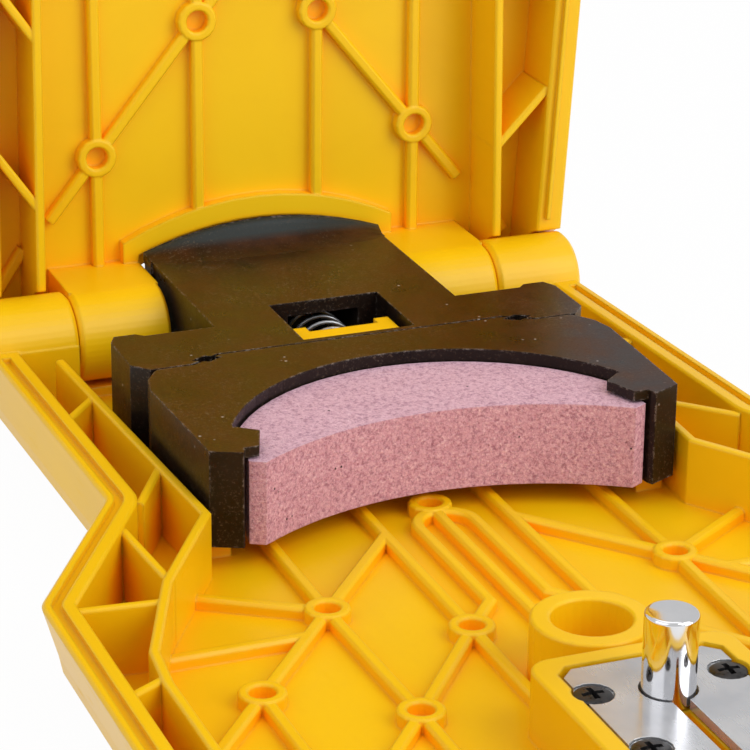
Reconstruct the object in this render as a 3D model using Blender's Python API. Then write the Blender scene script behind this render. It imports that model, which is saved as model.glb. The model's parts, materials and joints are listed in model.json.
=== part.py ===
"""Clamshell sharpener that is fastened on the nose of a chainsaw's guide bar.

The base lies open on its back and the lid stands upright on its hinge. A black push slide carries
a replaceable holder with a curved grinding stone, and a coil spring keeps it away from the chain.
Pressing the slide's crowned button moves the stone forwards, into the chain on the bar's nose.

Frame: x runs across, y runs from the bar's mouth towards the hinge, and z is up. The origin is on
the underside of the base, on the centre line, below the front corners of the stone holder.
All lengths are in metres.
"""

import math

import bmesh
import bpy
from mathutils import Matrix, Vector

# Gaps and modelling allowances
GAP = 0.0003
OVERRUN = 0.001
EMBED = 0.0004
STEP = 0.00015
MILLIMETRE = 0.001

# Case, shared by the base and the lid
CASE_DEPTH = 0.0120
PANEL_THICKNESS = 0.0025
HINGE_HALF_WIDTH = 0.0452
GRIP_HALF_WIDTH = 0.0594
WAIST_Y = 0.0049
WAIST_RIGHT_BULGE = 0.0021
WAIST_LEFT_INSET = 0.00145
REAR_RIGHT_INSET = 0.0016
REAR_LEFT_INSET = 0.0001
LID_SIDE_GROWTH = 0.0009
GRIP_DRAFT = 0.0018
FLARE_Y = -0.0209
FRONT_Y = -0.0970
REAR_CORNER_RADIUS = 0.0030
WAIST_RADIUS = 0.0040
FLARE_RADIUS = 0.0050
FRONT_CORNER_RADIUS = 0.0120
EDGE_ROUND = 0.0055
LEAST_RADIUS = 0.0004
CORNER_STEPS = 5
SLIM_SIDES = 14
SHARP_ANGLE = 35
EDGE_STEPS = 4
SOFT_EDGE = 0.00025

# Rim with its groove, which takes the lid's tongue
RIM_WIDTH = 0.0040
RIM_CHAMFER = 0.0003
GROOVE_CENTRE = 0.0017
GROOVE_WIDTH = 0.0012
GROOVE_END_MARGIN = 0.0017
GROOVE_DEPTH = 0.0008

# Mouth for the guide bar in the front rim
MOUTH_HALF_WIDTH = 0.0430
MOUTH_SILL = 0.0060

# Hinge
HINGE_Y = 0.0628
HINGE_DROP = 0.0013
BARREL_RADIUS = 0.0065
KNUCKLE_SPLIT = 0.0321
KNUCKLE_END_ROUND = 0.0006
BARREL_SIDES = 48
HINGE_PIN_RADIUS = 0.0016
HINGE_PIN_INSET = 0.0014
STOP_PAD_LENGTH = 0.0070
STOP_PAD_INNER = 0.0212
STOP_PAD_OUTER = 0.0300

# Inner walls and the ribs of the cells beside them
INNER_WALL_WIDTH = 0.0013
INNER_WALL_DROP = 0.0004
CELL_RIB_WIDTH = 0.0012
CELL_RIB_DROP = 0.0007
INNER_WALL_REAR_X = 0.0360
INNER_WALL_REAR_Y = 0.0526
INNER_WALL_CORNER_X = 0.0333
INNER_WALL_CORNER_Y = -0.0024
INNER_WALL_ELBOW_INSET = 0.0158
INNER_WALL_ELBOW_Y = -0.0190
INNER_WALL_BEND_INSET = 0.0090
INNER_WALL_BEND_Y = -0.0355
INNER_WALL_SIDE_INSET = 0.0082
INNER_WALL_SIDE_Y = -0.0430
LID_WALL_REAR_X = 0.0349
LID_WALL_CORNER_X = 0.0341

# Places of the cell ribs as shares of the case's length from its front: at the rim, at the inner wall
FRONT_CELL_SHARES = ((0.135, 0.162), (0.222, 0.195), (0.320, 0.335), (0.450, 0.444), (0.564, 0.4745))
BASE_CELL_SHARES = ((0.607, 0.665), (0.782, 0.818))
LID_RIGHT_CELL_SHARES = ((0.648, 0.695), (0.792, 0.840))
LID_LEFT_CELL_SHARES = ((0.657, 0.705), (0.801, 0.850))

# Panel ribs and ring bosses
RIB_WIDTH = 0.0017
RIB_TOP_WIDTH = 0.0010
RIB_HEIGHT = 0.0016
RIB_ROUND = 0.0004
BOSS_RADIUS = 0.0029
BOSS_BORE_RADIUS = 0.0016
BOSS_HEIGHT = 0.0018
BOSS_SIDES = 14
INNER_RIB_X = 0.0088
OUTER_RIB_X = 0.0233
LOW_BOSS_X = 0.0225
LOW_BOSS_Y = -0.0458
LID_INNER_RIB_X = 0.0091
LID_OUTER_RIB_X = 0.0243
TRUSS_PITCH = 0.0176
FLOOR_BOSS_Y = -0.0181
INNER_BOSS_Y = -0.0283
SIDE_RIB_SHARE = 0.31
SIDE_RIB_Y = -0.0236
LID_BOSS_Y = 0.0400
LID_TRUSS_PITCH = 0.0186
LID_TRUSS_SPACING = 0.0560
LID_TRUSS_RUNS = 2
LID_RIB_END_X = 0.0315
LID_STUB_INNER_X = 0.0354
LID_STUB_INNER_Y = 0.0525
LID_STUB_OUTER_X = 0.0392
LID_STUB_OUTER_Y = 0.0582

# Loop rib on the base's centre line
LOOP_HALF_WIDTH = 0.0039
LOOP_REAR_Y = 0.0039
REAR_BOSS_Y = 0.0060

# Tall ring between the stone and the bar plate
RING_Y = -0.0423
RING_RADIUS = 0.0072
RING_BORE_RADIUS = 0.0048
RING_TOP = 0.0102
RING_BORE_FLOOR = 0.0036
RING_SIDES = 28

# Bar plate, its platform and its screws
PLATE_HALF_WIDTH = 0.0097
PLATE_REAR_Y = -0.0540
PLATE_FRONT_Y = -0.0800
PLATE_CHAMFER = 0.0016
PLATE_THICKNESS = 0.0012
PLATE_TOP = 0.0106
PLATE_SLOT_HALF_WIDTH = 0.00105
PLATE_SLOT_FRONT_Y = -0.0775
PLATE_SLOT_DEPTH = 0.0040
PLATFORM_MARGIN = 0.0030
PLATE_SIDE_CLEARANCE = 0.0005
PLATFORM_RIM_RISE = 0.0002
PLATFORM_CORNER_RADIUS = 0.0030
SCREW_REAR_X = 0.0083
SCREW_FRONT_X = 0.0077
SCREW_REAR_Y = -0.0601
SCREW_FRONT_Y = -0.0732
SCREW_HEAD_RADIUS = 0.00215
SCREW_HEAD_LIP = 0.0003
SCREW_HEAD_RISE = 0.00015
SCREW_SHANK_RADIUS = 0.0011
SCREW_LENGTH = 0.0066
SCREW_SIDES = 16

# Locating pin for the hole in the guide bar
PIN_Y = -0.0618
PIN_RADIUS = 0.00305
PIN_TOP = 0.0200
PIN_EDGE_ROUND = 0.0005
PIN_EDGE_SHARE = 0.3
PIN_STEM_RADIUS = 0.0016
PIN_STEM_LENGTH = 0.0045
PIN_SIDES = 24

# Push slide
SLIDE_BOTTOM = 0.0056
SLIDE_TOP = 0.0185
SLIDE_WALL = 0.0020
FLANGE_HALF_WIDTH = 0.0326
FLANGE_REAR_Y = 0.0402
FLANGE_FRONT_Y = 0.0282
EAR_RISE = 0.0010
EAR_WIDTH = 0.0040
NICK_DEPTH = 0.0020
NICK_LENGTH = 0.0024
NECK_HALF_WIDTH = 0.0177
BUTTON_HALF_WIDTH = 0.0182
BUTTON_REAR_Y = 0.0706
BUTTON_PLATE = 0.0030
FLARE_LENGTH = 0.0075
CROWN_HEIGHT = 0.0033
CROWN_EDGE_RISE = 0.0006
CROWN_POINTS = 12
FLARE_STEPS = 8
WINDOW_HALF_WIDTH = 0.0080
WINDOW_FRONT_Y = 0.0315
WINDOW_REAR_Y = 0.0454
TRAVEL = 0.0060

# Return spring and the bracket that it bears on
SPRING_RADIUS = 0.0044
SPRING_WIRE_RADIUS = 0.00045
SPRING_Z = 0.0113
SPRING_CURLS = 5
SPRING_CURL_POINTS = 9
SPRING_POCKET_CLEARANCE = 0.0008
SPRING_POCKET_REAR_Y = 0.0570
SPIGOT_RADIUS = 0.0026
SPIGOT_LENGTH = 0.0050
BRACKET_HALF_WIDTH = 0.0071
BRACKET_CHEEK = 0.0021
BRACKET_WEB = 0.0055
BRACKET_REAR_Y = 0.0390
BRACKET_TOP = 0.0172

# Rails under the slide, and the shoulder screws that hold it down
RAIL_INNER_X = 0.0110
RAIL_OUTER_X = 0.0200
RAIL_FRONT_Y = 0.0225
RAIL_REAR_Y = 0.0410
SIDE_RAIL_INNER_X = 0.0282
SIDE_RAIL_OUTER_X = 0.0320
SIDE_RAIL_FRONT_Y = 0.0030
SIDE_RAIL_REAR_Y = 0.0440
NECK_RAIL_INNER_X = 0.0150
NECK_RAIL_OUTER_X = 0.0180
NECK_RAIL_REAR_Y = 0.0680
GUIDE_SCREW_X = 0.0155
GUIDE_SCREW_Y = 0.0340
GUIDE_SCREW_RADIUS = 0.0012
GUIDE_SCREW_HEAD_RADIUS = 0.0026
GUIDE_SCREW_HEAD = 0.0013
GUIDE_SCREW_LENGTH = 0.0105
WASHER_RADIUS = 0.0036
WASHER_THICKNESS = 0.0006
GUIDE_POCKET_DEPTH = 0.0033

# Stone holder, which plugs into the slide's flange
HOLDER_FRONT_HALF_WIDTH = 0.0320
HOLDER_REAR_HALF_WIDTH = 0.0327
HOLDER_SHOULDER_Y = 0.0215
HOLDER_CORNER = 0.0030
HOLDER_REAR_Y = 0.0279
TONGUE_ROOT_HALF_WIDTH = 0.0246
TONGUE_HALF_WIDTH = 0.0203
TONGUE_LENGTH = 0.0024
KEY_GAP_X = 0.0224
KEY_GAP_Y = 0.0294
KEY_GAP_HALF_LENGTH = 0.0021
KEY_GAP_HALF_WIDTH = 0.0011
ARM_INNER_X = 0.0277
ARM_INNER_Y = -0.0018
RECESS_RADIUS = 0.0300
RECESS_CENTRE_Y = -0.0069
RECESS_END_X = 0.0266
RECESS_STEPS = 20
HOOK_TIP_X = 0.0239
HOOK_TIP_Y = 0.0042
HOOK_FRONT_X = 0.0256
HOOK_FRONT_Y = -0.0004
HOOK_ROOT = 0.0020
ARM_CHAMFER = 0.0004

# Grinding stone
STONE_TOP = 0.0168
STONE_FACE_RADIUS = 0.0444
STONE_FACE_APEX_Y = 0.0060
STONE_FACE_END_X = 0.0252
STONE_STEPS = 20
STONE_CORNER_Y = -0.0008
STONE_SIDE_CLEARANCE = 0.0006

# Lid
LID_GAP = GAP
NOTCH_RADIUS = 0.0466
NOTCH_APEX_Y = 0.0514
NOTCH_STEP = 0.0016
PANEL_NOTCH_RADIUS = 0.0380
BAND_RADIUS = 0.0453
BAND_APEX_Y = 0.0482
BAND_HALF_WIDTH = 0.0208
BAND_STEPS = 12
PAD_TOP = 0.0080
PAD_BORE_CLEARANCE = 0.0005
PAD_BORE_FLOOR = 0.0036

# Side latches, which swing on the lid's edge and hook under the base's catches
LATCH_Y = -0.0780
LATCH_HALF_LENGTH = 0.0062
LATCH_PIVOT_OUT = 0.0026
LATCH_PIVOT_DROP = 0.0032
LATCH_BARREL_RADIUS = 0.0019
LATCH_ARM_INNER_OUT = 0.0017
LATCH_ARM_OUTER_OUT = 0.0035
LATCH_REACH = 0.0094
LATCH_HOOK_OUT = 0.0005
LATCH_HOOK_THICKNESS = 0.0020
LATCH_PIN_RADIUS = 0.0008
LATCH_EAR_THICKNESS = 0.0025
LATCH_EAR_OUT = 0.0048
LATCH_EAR_BELOW = 0.0029
LATCH_OPEN_ANGLE = math.radians(60)
CATCH_OUT = 0.0013
CATCH_HEIGHT = 0.0020
CATCH_HALF_LENGTH = 0.0055

# Places that follow from the sizes above
NOTCH_HALF_WIDTH = BUTTON_HALF_WIDTH + GAP
WAIST_RIGHT_X = HINGE_HALF_WIDTH + WAIST_RIGHT_BULGE
WAIST_LEFT_X = HINGE_HALF_WIDTH - WAIST_LEFT_INSET
REAR_RIGHT_X = HINGE_HALF_WIDTH - REAR_RIGHT_INSET
REAR_LEFT_X = HINGE_HALF_WIDTH - REAR_LEFT_INSET
INNER_WALL_ELBOW_X = GRIP_HALF_WIDTH - INNER_WALL_ELBOW_INSET
INNER_WALL_BEND_X = GRIP_HALF_WIDTH - INNER_WALL_BEND_INSET
INNER_WALL_SIDE_X = GRIP_HALF_WIDTH - INNER_WALL_SIDE_INSET
HINGE_PIN_END = HINGE_HALF_WIDTH - HINGE_PIN_INSET
HINGE_Z = CASE_DEPTH - HINGE_DROP
REAR_Y = HINGE_Y + BARREL_RADIUS
BARREL_FRONT_Y = HINGE_Y - BARREL_RADIUS
GROOVE_REAR_Y = BARREL_FRONT_Y - GROOVE_END_MARGIN
LID_DEPTH = CASE_DEPTH - LID_GAP
LID_HINGE_Z = CASE_DEPTH + HINGE_DROP
LATCH_PIVOT_Z = LID_DEPTH - LATCH_PIVOT_DROP
LATCH_EAR_LOW = LATCH_PIVOT_Z - LATCH_EAR_BELOW
RAIL_TOP = SLIDE_BOTTOM - GAP
PLATE_BOTTOM = PLATE_TOP - PLATE_THICKNESS
PLATFORM_TOP = PLATE_BOTTOM - GAP
INNER_WALL_TOP = CASE_DEPTH - INNER_WALL_DROP
CELL_RIB_TOP = CASE_DEPTH - CELL_RIB_DROP
RIB_TOP = PANEL_THICKNESS + RIB_HEIGHT
BOSS_TOP = PANEL_THICKNESS + BOSS_HEIGHT
TRUSS_SLOPE = (OUTER_RIB_X - INNER_RIB_X) / TRUSS_PITCH
PIN_FRONT_Y = PIN_Y - PIN_RADIUS


def clear_scene():
    for item in list(bpy.data.objects):
        bpy.data.objects.remove(item)


def plastic(name, colour, roughness):
    return surface(name, colour, roughness, 0.0)


def surface(name, colour, roughness, metallic):
    result = bpy.data.materials.new(name)
    result.use_nodes = True
    shader = result.node_tree.nodes["Principled BSDF"]
    shader.inputs["Base Color"].default_value = (*colour, 1.0)
    shader.inputs["Roughness"].default_value = roughness
    shader.inputs["Metallic"].default_value = metallic
    return result


def new_object(name, mesh):
    result = bpy.data.objects.new(name, mesh)
    bpy.context.scene.collection.objects.link(result)
    return result


def loft(name, rings):
    """A closed solid through rings of equal point counts, each turning left about the way up."""
    mesh = bmesh.new()
    levels = [[mesh.verts.new(point) for point in ring] for ring in rings]
    count = len(rings[0])
    for low, high in zip(levels, levels[1:]):
        for i in range(count):
            j = (i + 1) % count
            mesh.faces.new((low[i], low[j], high[j], high[i]))
    mesh.faces.new(list(reversed(levels[0])))
    mesh.faces.new(levels[-1])
    bmesh.ops.recalc_face_normals(mesh, faces=mesh.faces)
    data = bpy.data.meshes.new(name)
    mesh.to_mesh(data)
    mesh.free()
    return new_object(name, data)


def prism(name, outline, low, high):
    return loft(name, [[(x, y, z) for x, y in outline] for z in (low, high)])


def box(name, x_range, y_range, z_range):
    outline = [
        (x_range[0], y_range[0]),
        (x_range[1], y_range[0]),
        (x_range[1], y_range[1]),
        (x_range[0], y_range[1]),
    ]
    return prism(name, outline, z_range[0], z_range[1])


def circle(centre, radius, sides):
    turns = [2 * math.pi * i / sides for i in range(sides)]
    return [(centre[0] + radius * math.cos(t), centre[1] + radius * math.sin(t)) for t in turns]


def drum(name, centre, radius, low, high, sides):
    return prism(name, circle(centre, radius, sides), low, high)


def turned(name, centre, profile, sides):
    """A solid of revolution about a vertical line, from (radius, height) pairs going up."""
    return loft(name, [[(*spot, z) for spot in circle(centre, r, sides)] for r, z in profile])


def along_x(name, outline, low, high):
    """A prism along x, from an outline of (y, z) points."""
    return loft(name, [[(x, y, z) for y, z in outline] for x in (low, high)])


def along_y(name, outline, low, high):
    """A prism along y, from an outline of (x, z) points."""
    return loft(name, [[(x, y, z) for x, z in outline] for y in (low, high)])


def combine(body, tools, operation):
    """Joins the tools to the body, or cuts them out of it, and removes them."""
    for tool in tools:
        change = body.modifiers.new(operation.title(), "BOOLEAN")
        change.operation = operation
        change.solver = "EXACT"
        change.object = tool
    graph = bpy.context.evaluated_depsgraph_get()
    result = bpy.data.meshes.new_from_object(body.evaluated_get(graph))
    body.modifiers.clear()
    result.name = body.name
    body.data = result
    for tool in tools:
        bpy.data.objects.remove(tool)
    return body


def join(body, *tools):
    return combine(body, tools, "UNION")


def cut(body, *tools):
    return combine(body, tools, "DIFFERENCE")


def mirrored(points):
    return [(-x, y) for x, y in points]


def both_sides(right_half):
    """A closed outline from its right half, which is given from the front to the rear."""
    return list(right_half) + list(reversed(mirrored(right_half)))


def inset(corners, distance):
    """The (x, y, radius) corners of an outline that turns left, moved inwards by a distance."""
    result = []
    count = len(corners)
    for i, (x, y, radius) in enumerate(corners):
        here = Vector((x, y))
        arriving = (here - Vector(corners[i - 1][:2])).normalized()
        leaving = (Vector(corners[(i + 1) % count][:2]) - here).normalized()
        normal_in = Vector((-arriving.y, arriving.x))
        normal_out = Vector((-leaving.y, leaving.x))
        mitre = (normal_in + normal_out) / (1 + normal_in.dot(normal_out))
        moved = here + mitre * distance
        outer = arriving.cross(leaving) > 0
        new_radius = radius - distance if outer else radius + distance
        result.append((moved.x, moved.y, max(new_radius, LEAST_RADIUS)))
    return result


def rounded(corners, steps=CORNER_STEPS):
    """The points of an outline whose (x, y, radius) corners are rounded."""
    result = []
    count = len(corners)
    for i, (x, y, radius) in enumerate(corners):
        here = Vector((x, y))
        arriving = (here - Vector(corners[i - 1][:2])).normalized()
        leaving = (Vector(corners[(i + 1) % count][:2]) - here).normalized()
        turn = math.atan2(arriving.cross(leaving), arriving.dot(leaving))
        start = here - arriving * (radius * math.tan(abs(turn) / 2))
        side = math.copysign(radius, turn)
        centre = start + Vector((-arriving.y, arriving.x)) * side
        for k in range(steps + 1):
            spoke = Matrix.Rotation(turn * k / steps, 2) @ (start - centre)
            result.append(tuple(centre + spoke))
    return result


def strip(path, width):
    """The outline of a wall of even width along a path of points."""
    points = [Vector(p) for p in path]
    left = []
    right = []
    for i, here in enumerate(points):
        arriving = (here - points[i - 1]).normalized() if i else None
        leaving = (points[i + 1] - here).normalized() if i + 1 < len(points) else None
        first = arriving or leaving
        last = leaving or arriving
        normal_in = Vector((-first.y, first.x))
        normal_out = Vector((-last.y, last.x))
        mitre = (normal_in + normal_out) / (1 + normal_in.dot(normal_out))
        left.append(tuple(here + mitre * width / 2))
        right.append(tuple(here - mitre * width / 2))
    return right + list(reversed(left))


def wall(name, path, width, low, high):
    return prism(name, strip(path, width), low, high)


def arc(centre, radius, start_x, end_x, steps, sign):
    """Points of an arc over a range of x, above its centre for sign 1 and below it for -1."""
    result = []
    for i in range(steps + 1):
        first = math.asin((start_x - centre[0]) / radius)
        last = math.asin((end_x - centre[0]) / radius)
        angle = first + (last - first) * i / steps
        across = radius * math.sin(angle)
        result.append((centre[0] + across, centre[1] + sign * radius * math.cos(angle)))
    return result


def side_corners(waist_x, rear_x, draft):
    """One side's corners from the front to the rear, as for the right side."""
    return [
        (GRIP_HALF_WIDTH - draft, FRONT_Y, FRONT_CORNER_RADIUS),
        (GRIP_HALF_WIDTH - draft, FLARE_Y, FLARE_RADIUS),
        (waist_x, WAIST_Y, WAIST_RADIUS),
        (rear_x, REAR_Y, REAR_CORNER_RADIUS),
    ]


def case_corners(flipped, draft=0, growth=0):
    """Corners of the case's outline; flipped for the lid, which meets the base face to face."""
    sides = [(WAIST_RIGHT_X + growth, REAR_RIGHT_X + growth), (WAIST_LEFT_X, REAR_LEFT_X)]
    if flipped:
        sides.reverse()
    right, left = [side_corners(*side, draft) for side in sides]
    return right + [(-x, y, radius) for x, y, radius in reversed(left)]


def half_corners(flipped, draft=0):
    """Corners of one half, where the lid stands out a little over the base's right side."""
    return case_corners(flipped, draft, LID_SIDE_GROWTH if flipped else 0)


def case_block(name, flipped, depth):
    """The solid outer form of a case half, with its back's edge rounded, lying on its back."""
    drafted = half_corners(flipped, GRIP_DRAFT)
    rings = []
    for i in range(EDGE_STEPS + 1):
        angle = math.pi / 2 * i / EDGE_STEPS
        drawn_in = EDGE_ROUND * (1 - math.sin(angle))
        height = EDGE_ROUND * (1 - math.cos(angle))
        outline = rounded(inset(drafted, drawn_in))
        rings.append([(x, y, height) for x, y in outline])
    for drawn_in, height in ((0, depth - RIM_CHAMFER), (RIM_CHAMFER, depth)):
        outline = rounded(inset(half_corners(flipped), drawn_in))
        rings.append([(x, y, height) for x, y in outline])
    return loft(name, rings)


def well(corners, depth):
    """Cutter for a half's inside, which is wider along the rim's chamfered edge."""
    rings = []
    for grown, height in (
        (0, PANEL_THICKNESS),
        (0, depth - RIM_CHAMFER),
        (RIM_CHAMFER, depth),
        (RIM_CHAMFER, depth + OVERRUN),
    ):
        rings.append([(x, y, height) for x, y in rounded(inset(corners, -grown))])
    return loft("well", rings)


def rim_path(flipped, rear_y):
    """The groove's line along the sides and the front of the rim, between two places at its rear."""
    corners = inset(case_corners(flipped), GROOVE_CENTRE)
    points = rounded(corners)
    first = [p for p in points if p[0] > 0 and p[1] < rear_y]
    last = [p for p in points if p[0] < 0 and p[1] < rear_y]
    lines = [[(x, y) for x, y, _ in corners[start:start + 2]] for start in (4, 2)]
    ends = [(line_x(line, rear_y), rear_y) for line in lines]
    return [ends[0], *last, *first, ends[1]]


def inner_wall_path(rear_y, rear_x, corner_x):
    """An inner wall's line on the right side, which leans outwards up to a given place."""
    lean = (rear_x - corner_x) / (INNER_WALL_REAR_Y - INNER_WALL_CORNER_Y)
    return [
        (corner_x + lean * (rear_y - INNER_WALL_CORNER_Y), rear_y),
        (corner_x, INNER_WALL_CORNER_Y),
        (INNER_WALL_ELBOW_X, INNER_WALL_ELBOW_Y),
        (INNER_WALL_BEND_X, INNER_WALL_BEND_Y),
        (INNER_WALL_SIDE_X, INNER_WALL_SIDE_Y),
        (INNER_WALL_SIDE_X, FRONT_Y + RIM_WIDTH - EMBED),
    ]


def base_wall_path():
    return inner_wall_path(INNER_WALL_REAR_Y, INNER_WALL_REAR_X, INNER_WALL_CORNER_X)


def lid_wall_path():
    return inner_wall_path(HINGE_Y, LID_WALL_REAR_X, LID_WALL_CORNER_X)


def soft_wall(name, path, width, top):
    """A wall on the panel whose top edges are chamfered."""
    rings = []
    for across, height in (
        (width, PANEL_THICKNESS - EMBED),
        (width, top - SOFT_EDGE),
        (width - 2 * SOFT_EDGE, top),
    ):
        rings.append([(x, y, height) for x, y in strip(path, across)])
    return loft(name, rings)


def inner_walls(path, top):
    return [soft_wall("inner_wall", line, INNER_WALL_WIDTH, top) for line in (path, mirrored(path))]


def line_x(path, y):
    """Where a path that runs along y crosses a given place."""
    for (x0, y0), (x1, y1) in zip(path, path[1:]):
        if min(y0, y1) <= y <= max(y0, y1):
            return x0 + (x1 - x0) * (y - y0) / (y1 - y0)
    return path[-1][0] if y < path[-1][1] else path[0][0]


def rim_inner_paths(flipped):
    """The rim's inner edge on the right and on the left, each from the front to the rear."""
    corners = [(x, y) for x, y, _ in inset(half_corners(flipped), RIM_WIDTH)]
    return corners[:4], list(reversed(corners[4:]))


def cell_ribs(side_shares, flipped, wall_path, top):
    """Ribs from the rim to the inner wall, from pairs of shares of the length for each side."""
    ribs = []
    walls = (wall_path, mirrored(wall_path))
    for outer, inner, shares in zip(rim_inner_paths(flipped), walls, side_shares):
        for pair in FRONT_CELL_SHARES + shares:
            outer_y, inner_y = [FRONT_Y + (REAR_Y - FRONT_Y) * share for share in pair]
            start = Vector((line_x(outer, outer_y), outer_y))
            end = Vector((line_x(inner, inner_y), inner_y))
            along = (end - start).normalized() * EMBED
            ribs.append(soft_wall("cell_rib", [start - along, end + along], CELL_RIB_WIDTH, top))
    return ribs


def soft_rib(path):
    """A low rib on a panel, narrower at its top."""
    rings = []
    for width, height in (
        (RIB_WIDTH, PANEL_THICKNESS - EMBED),
        (RIB_WIDTH, RIB_TOP - RIB_ROUND),
        (RIB_TOP_WIDTH, RIB_TOP),
    ):
        rings.append([(x, y, height) for x, y in strip(path, width)])
    return loft("rib", rings)


def panel_ribs(paths):
    """Low ribs, each path given for the right side and repeated on the left."""
    return [soft_rib(side) for path in paths for side in (path, mirrored(path))]


def ring_bosses(body, places):
    """Ring bosses on both sides, each with its bore down to the panel."""
    spots = [(side * x, y) for x, y in places for side in (1, -1)]
    join(body, *[boss(spot, BOSS_RADIUS, BOSS_TOP, BOSS_SIDES) for spot in spots])
    bore = (BOSS_BORE_RADIUS, PANEL_THICKNESS, BOSS_TOP, BOSS_SIDES)
    cut(body, *[soft_bore(spot, *bore) for spot in spots])


def boss(spot, radius, top, sides):
    """A round boss on the panel whose top edge is chamfered."""
    profile = [
        (radius, PANEL_THICKNESS - EMBED),
        (radius, top - SOFT_EDGE),
        (radius - SOFT_EDGE, top),
    ]
    return turned("boss", spot, profile, sides)


def soft_bore(spot, radius, floor, top, sides):
    """Cutter for a round bore whose mouth is chamfered."""
    profile = [
        (radius, floor),
        (radius, top - SOFT_EDGE),
        (radius + SOFT_EDGE, top),
        (radius + SOFT_EDGE, top + OVERRUN),
    ]
    return turned("bore", spot, profile, sides)


def barrel(name, low, high, radius, height, sides):
    """A round bar along the hinge's axis."""
    return along_x(name, circle((HINGE_Y, height), radius, sides), low, high)


def base_truss():
    """Ribs of the base's floor on the right side."""
    slope = TRUSS_SLOPE
    front = FRONT_Y + RIM_WIDTH - EMBED
    outer_boss = (OUTER_RIB_X, FLOOR_BOSS_Y)
    corner_boss = (2 * OUTER_RIB_X - INNER_RIB_X, FLOOR_BOSS_Y - TRUSS_PITCH)
    inner_boss = (INNER_RIB_X, INNER_BOSS_Y)
    low_boss = (LOW_BOSS_X, LOW_BOSS_Y)
    side = INNER_WALL_SIDE_X
    wall_line = base_wall_path()
    side_rib = tuple(Vector(outer_boss).lerp(Vector(corner_boss), SIDE_RIB_SHARE))
    return {
        "bosses": [outer_boss, corner_boss, inner_boss, low_boss],
        "ribs": [
            [(INNER_RIB_X, RAIL_FRONT_Y), (INNER_RIB_X, PLATE_REAR_Y + PLATFORM_MARGIN)],
            [(OUTER_RIB_X, RAIL_FRONT_Y), outer_boss, low_boss, (LOW_BOSS_X, front)],
            [(INNER_RIB_X, FLOOR_BOSS_Y + TRUSS_PITCH), outer_boss],
            [outer_boss, corner_boss],
            [corner_boss, (side, corner_boss[1] - (side - corner_boss[0]) / slope)],
            [inner_boss, low_boss],
            [low_boss, (side, low_boss[1] - (side - low_boss[0]) / slope)],
            [outer_boss, (line_x(wall_line, FLOOR_BOSS_Y / 2), FLOOR_BOSS_Y / 2)],
            [side_rib, (line_x(wall_line, SIDE_RIB_Y), SIDE_RIB_Y)],
            [corner_boss, (corner_boss[0], front)],
        ],
    }


def base_cavities():
    """The well inside the rim, and the opening between the two knuckles."""
    corners = inset(half_corners(False), RIM_WIDTH)
    lines = [[(x, y) for x, y, _ in corners[start:start + 2]] for start in (2, 4)]
    rear = [(line_x(line, BARREL_FRONT_Y), BARREL_FRONT_Y, LEAST_RADIUS) for line in lines]
    corners[3:5] = rear
    high = CASE_DEPTH + OVERRUN
    split = (-KNUCKLE_SPLIT, KNUCKLE_SPLIT)
    gate = box("gate", split, (BARREL_FRONT_Y - OVERRUN, REAR_Y + OVERRUN), (PANEL_THICKNESS, high))
    across = HINGE_HALF_WIDTH + OVERRUN
    y_range = (BARREL_FRONT_Y + STEP, REAR_Y + OVERRUN)
    shoulder = box("shoulder", (-across, across), y_range, (HINGE_Z, high))
    return well(corners, CASE_DEPTH), gate, shoulder


def knuckle(name, low, high, height):
    """A barrel between two places along x, with the edges of both ends rounded off."""
    small = BARREL_RADIUS - KNUCKLE_END_ROUND
    rings = []
    for x, radius in (
        (low, small),
        (low + KNUCKLE_END_ROUND, BARREL_RADIUS),
        (high - KNUCKLE_END_ROUND, BARREL_RADIUS),
        (high, small),
    ):
        outline = circle((HINGE_Y, height), radius, BARREL_SIDES)
        rings.append([(x, y, z) for y, z in outline])
    return loft(name, rings)


def plate_outline(margin):
    """The bar plate's outline with its cut corners, grown by a margin."""
    half = PLATE_HALF_WIDTH + margin
    front = PLATE_FRONT_Y - margin
    rear = PLATE_REAR_Y + margin
    right = [
        (half - PLATE_CHAMFER, front),
        (half, front + PLATE_CHAMFER),
        (half, rear - PLATE_CHAMFER),
        (half - PLATE_CHAMFER, rear),
    ]
    return both_sides(right)


def platform(top):
    """Raised platform under the bar plate, or the lid's pad over it, with a chamfered edge."""
    half = PLATE_HALF_WIDTH + PLATFORM_MARGIN
    front = PLATE_FRONT_Y - PLATFORM_MARGIN
    rear = PLATE_REAR_Y + PLATFORM_MARGIN
    radius = PLATFORM_CORNER_RADIUS
    right = [(half, front, radius), (half, rear, radius)]
    corners = right + [(-x, y, radius) for x, y, radius in reversed(right)]
    rings = []
    for drawn_in, height in (
        (0, PANEL_THICKNESS - EMBED),
        (0, top - SOFT_EDGE),
        (SOFT_EDGE, top),
    ):
        rings.append([(x, y, height) for x, y in rounded(inset(corners, drawn_in))])
    return loft("platform", rings)


def screw_spots():
    return {
        "rear_left": (-SCREW_REAR_X, SCREW_REAR_Y),
        "rear_right": (SCREW_REAR_X, SCREW_REAR_Y),
        "front_left": (-SCREW_FRONT_X, SCREW_FRONT_Y),
        "front_right": (SCREW_FRONT_X, SCREW_FRONT_Y),
    }


def screw_profile(clearance, tip, top):
    """Countersunk screw from its tip to its top, as (radius, height) pairs."""
    cone = SCREW_HEAD_RADIUS - SCREW_SHANK_RADIUS
    seat = PLATE_TOP - SCREW_HEAD_LIP
    return [
        (SCREW_SHANK_RADIUS + clearance, tip),
        (SCREW_SHANK_RADIUS + clearance, seat - cone),
        (SCREW_HEAD_RADIUS + clearance, seat),
        (SCREW_HEAD_RADIUS + clearance, top),
    ]


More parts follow.
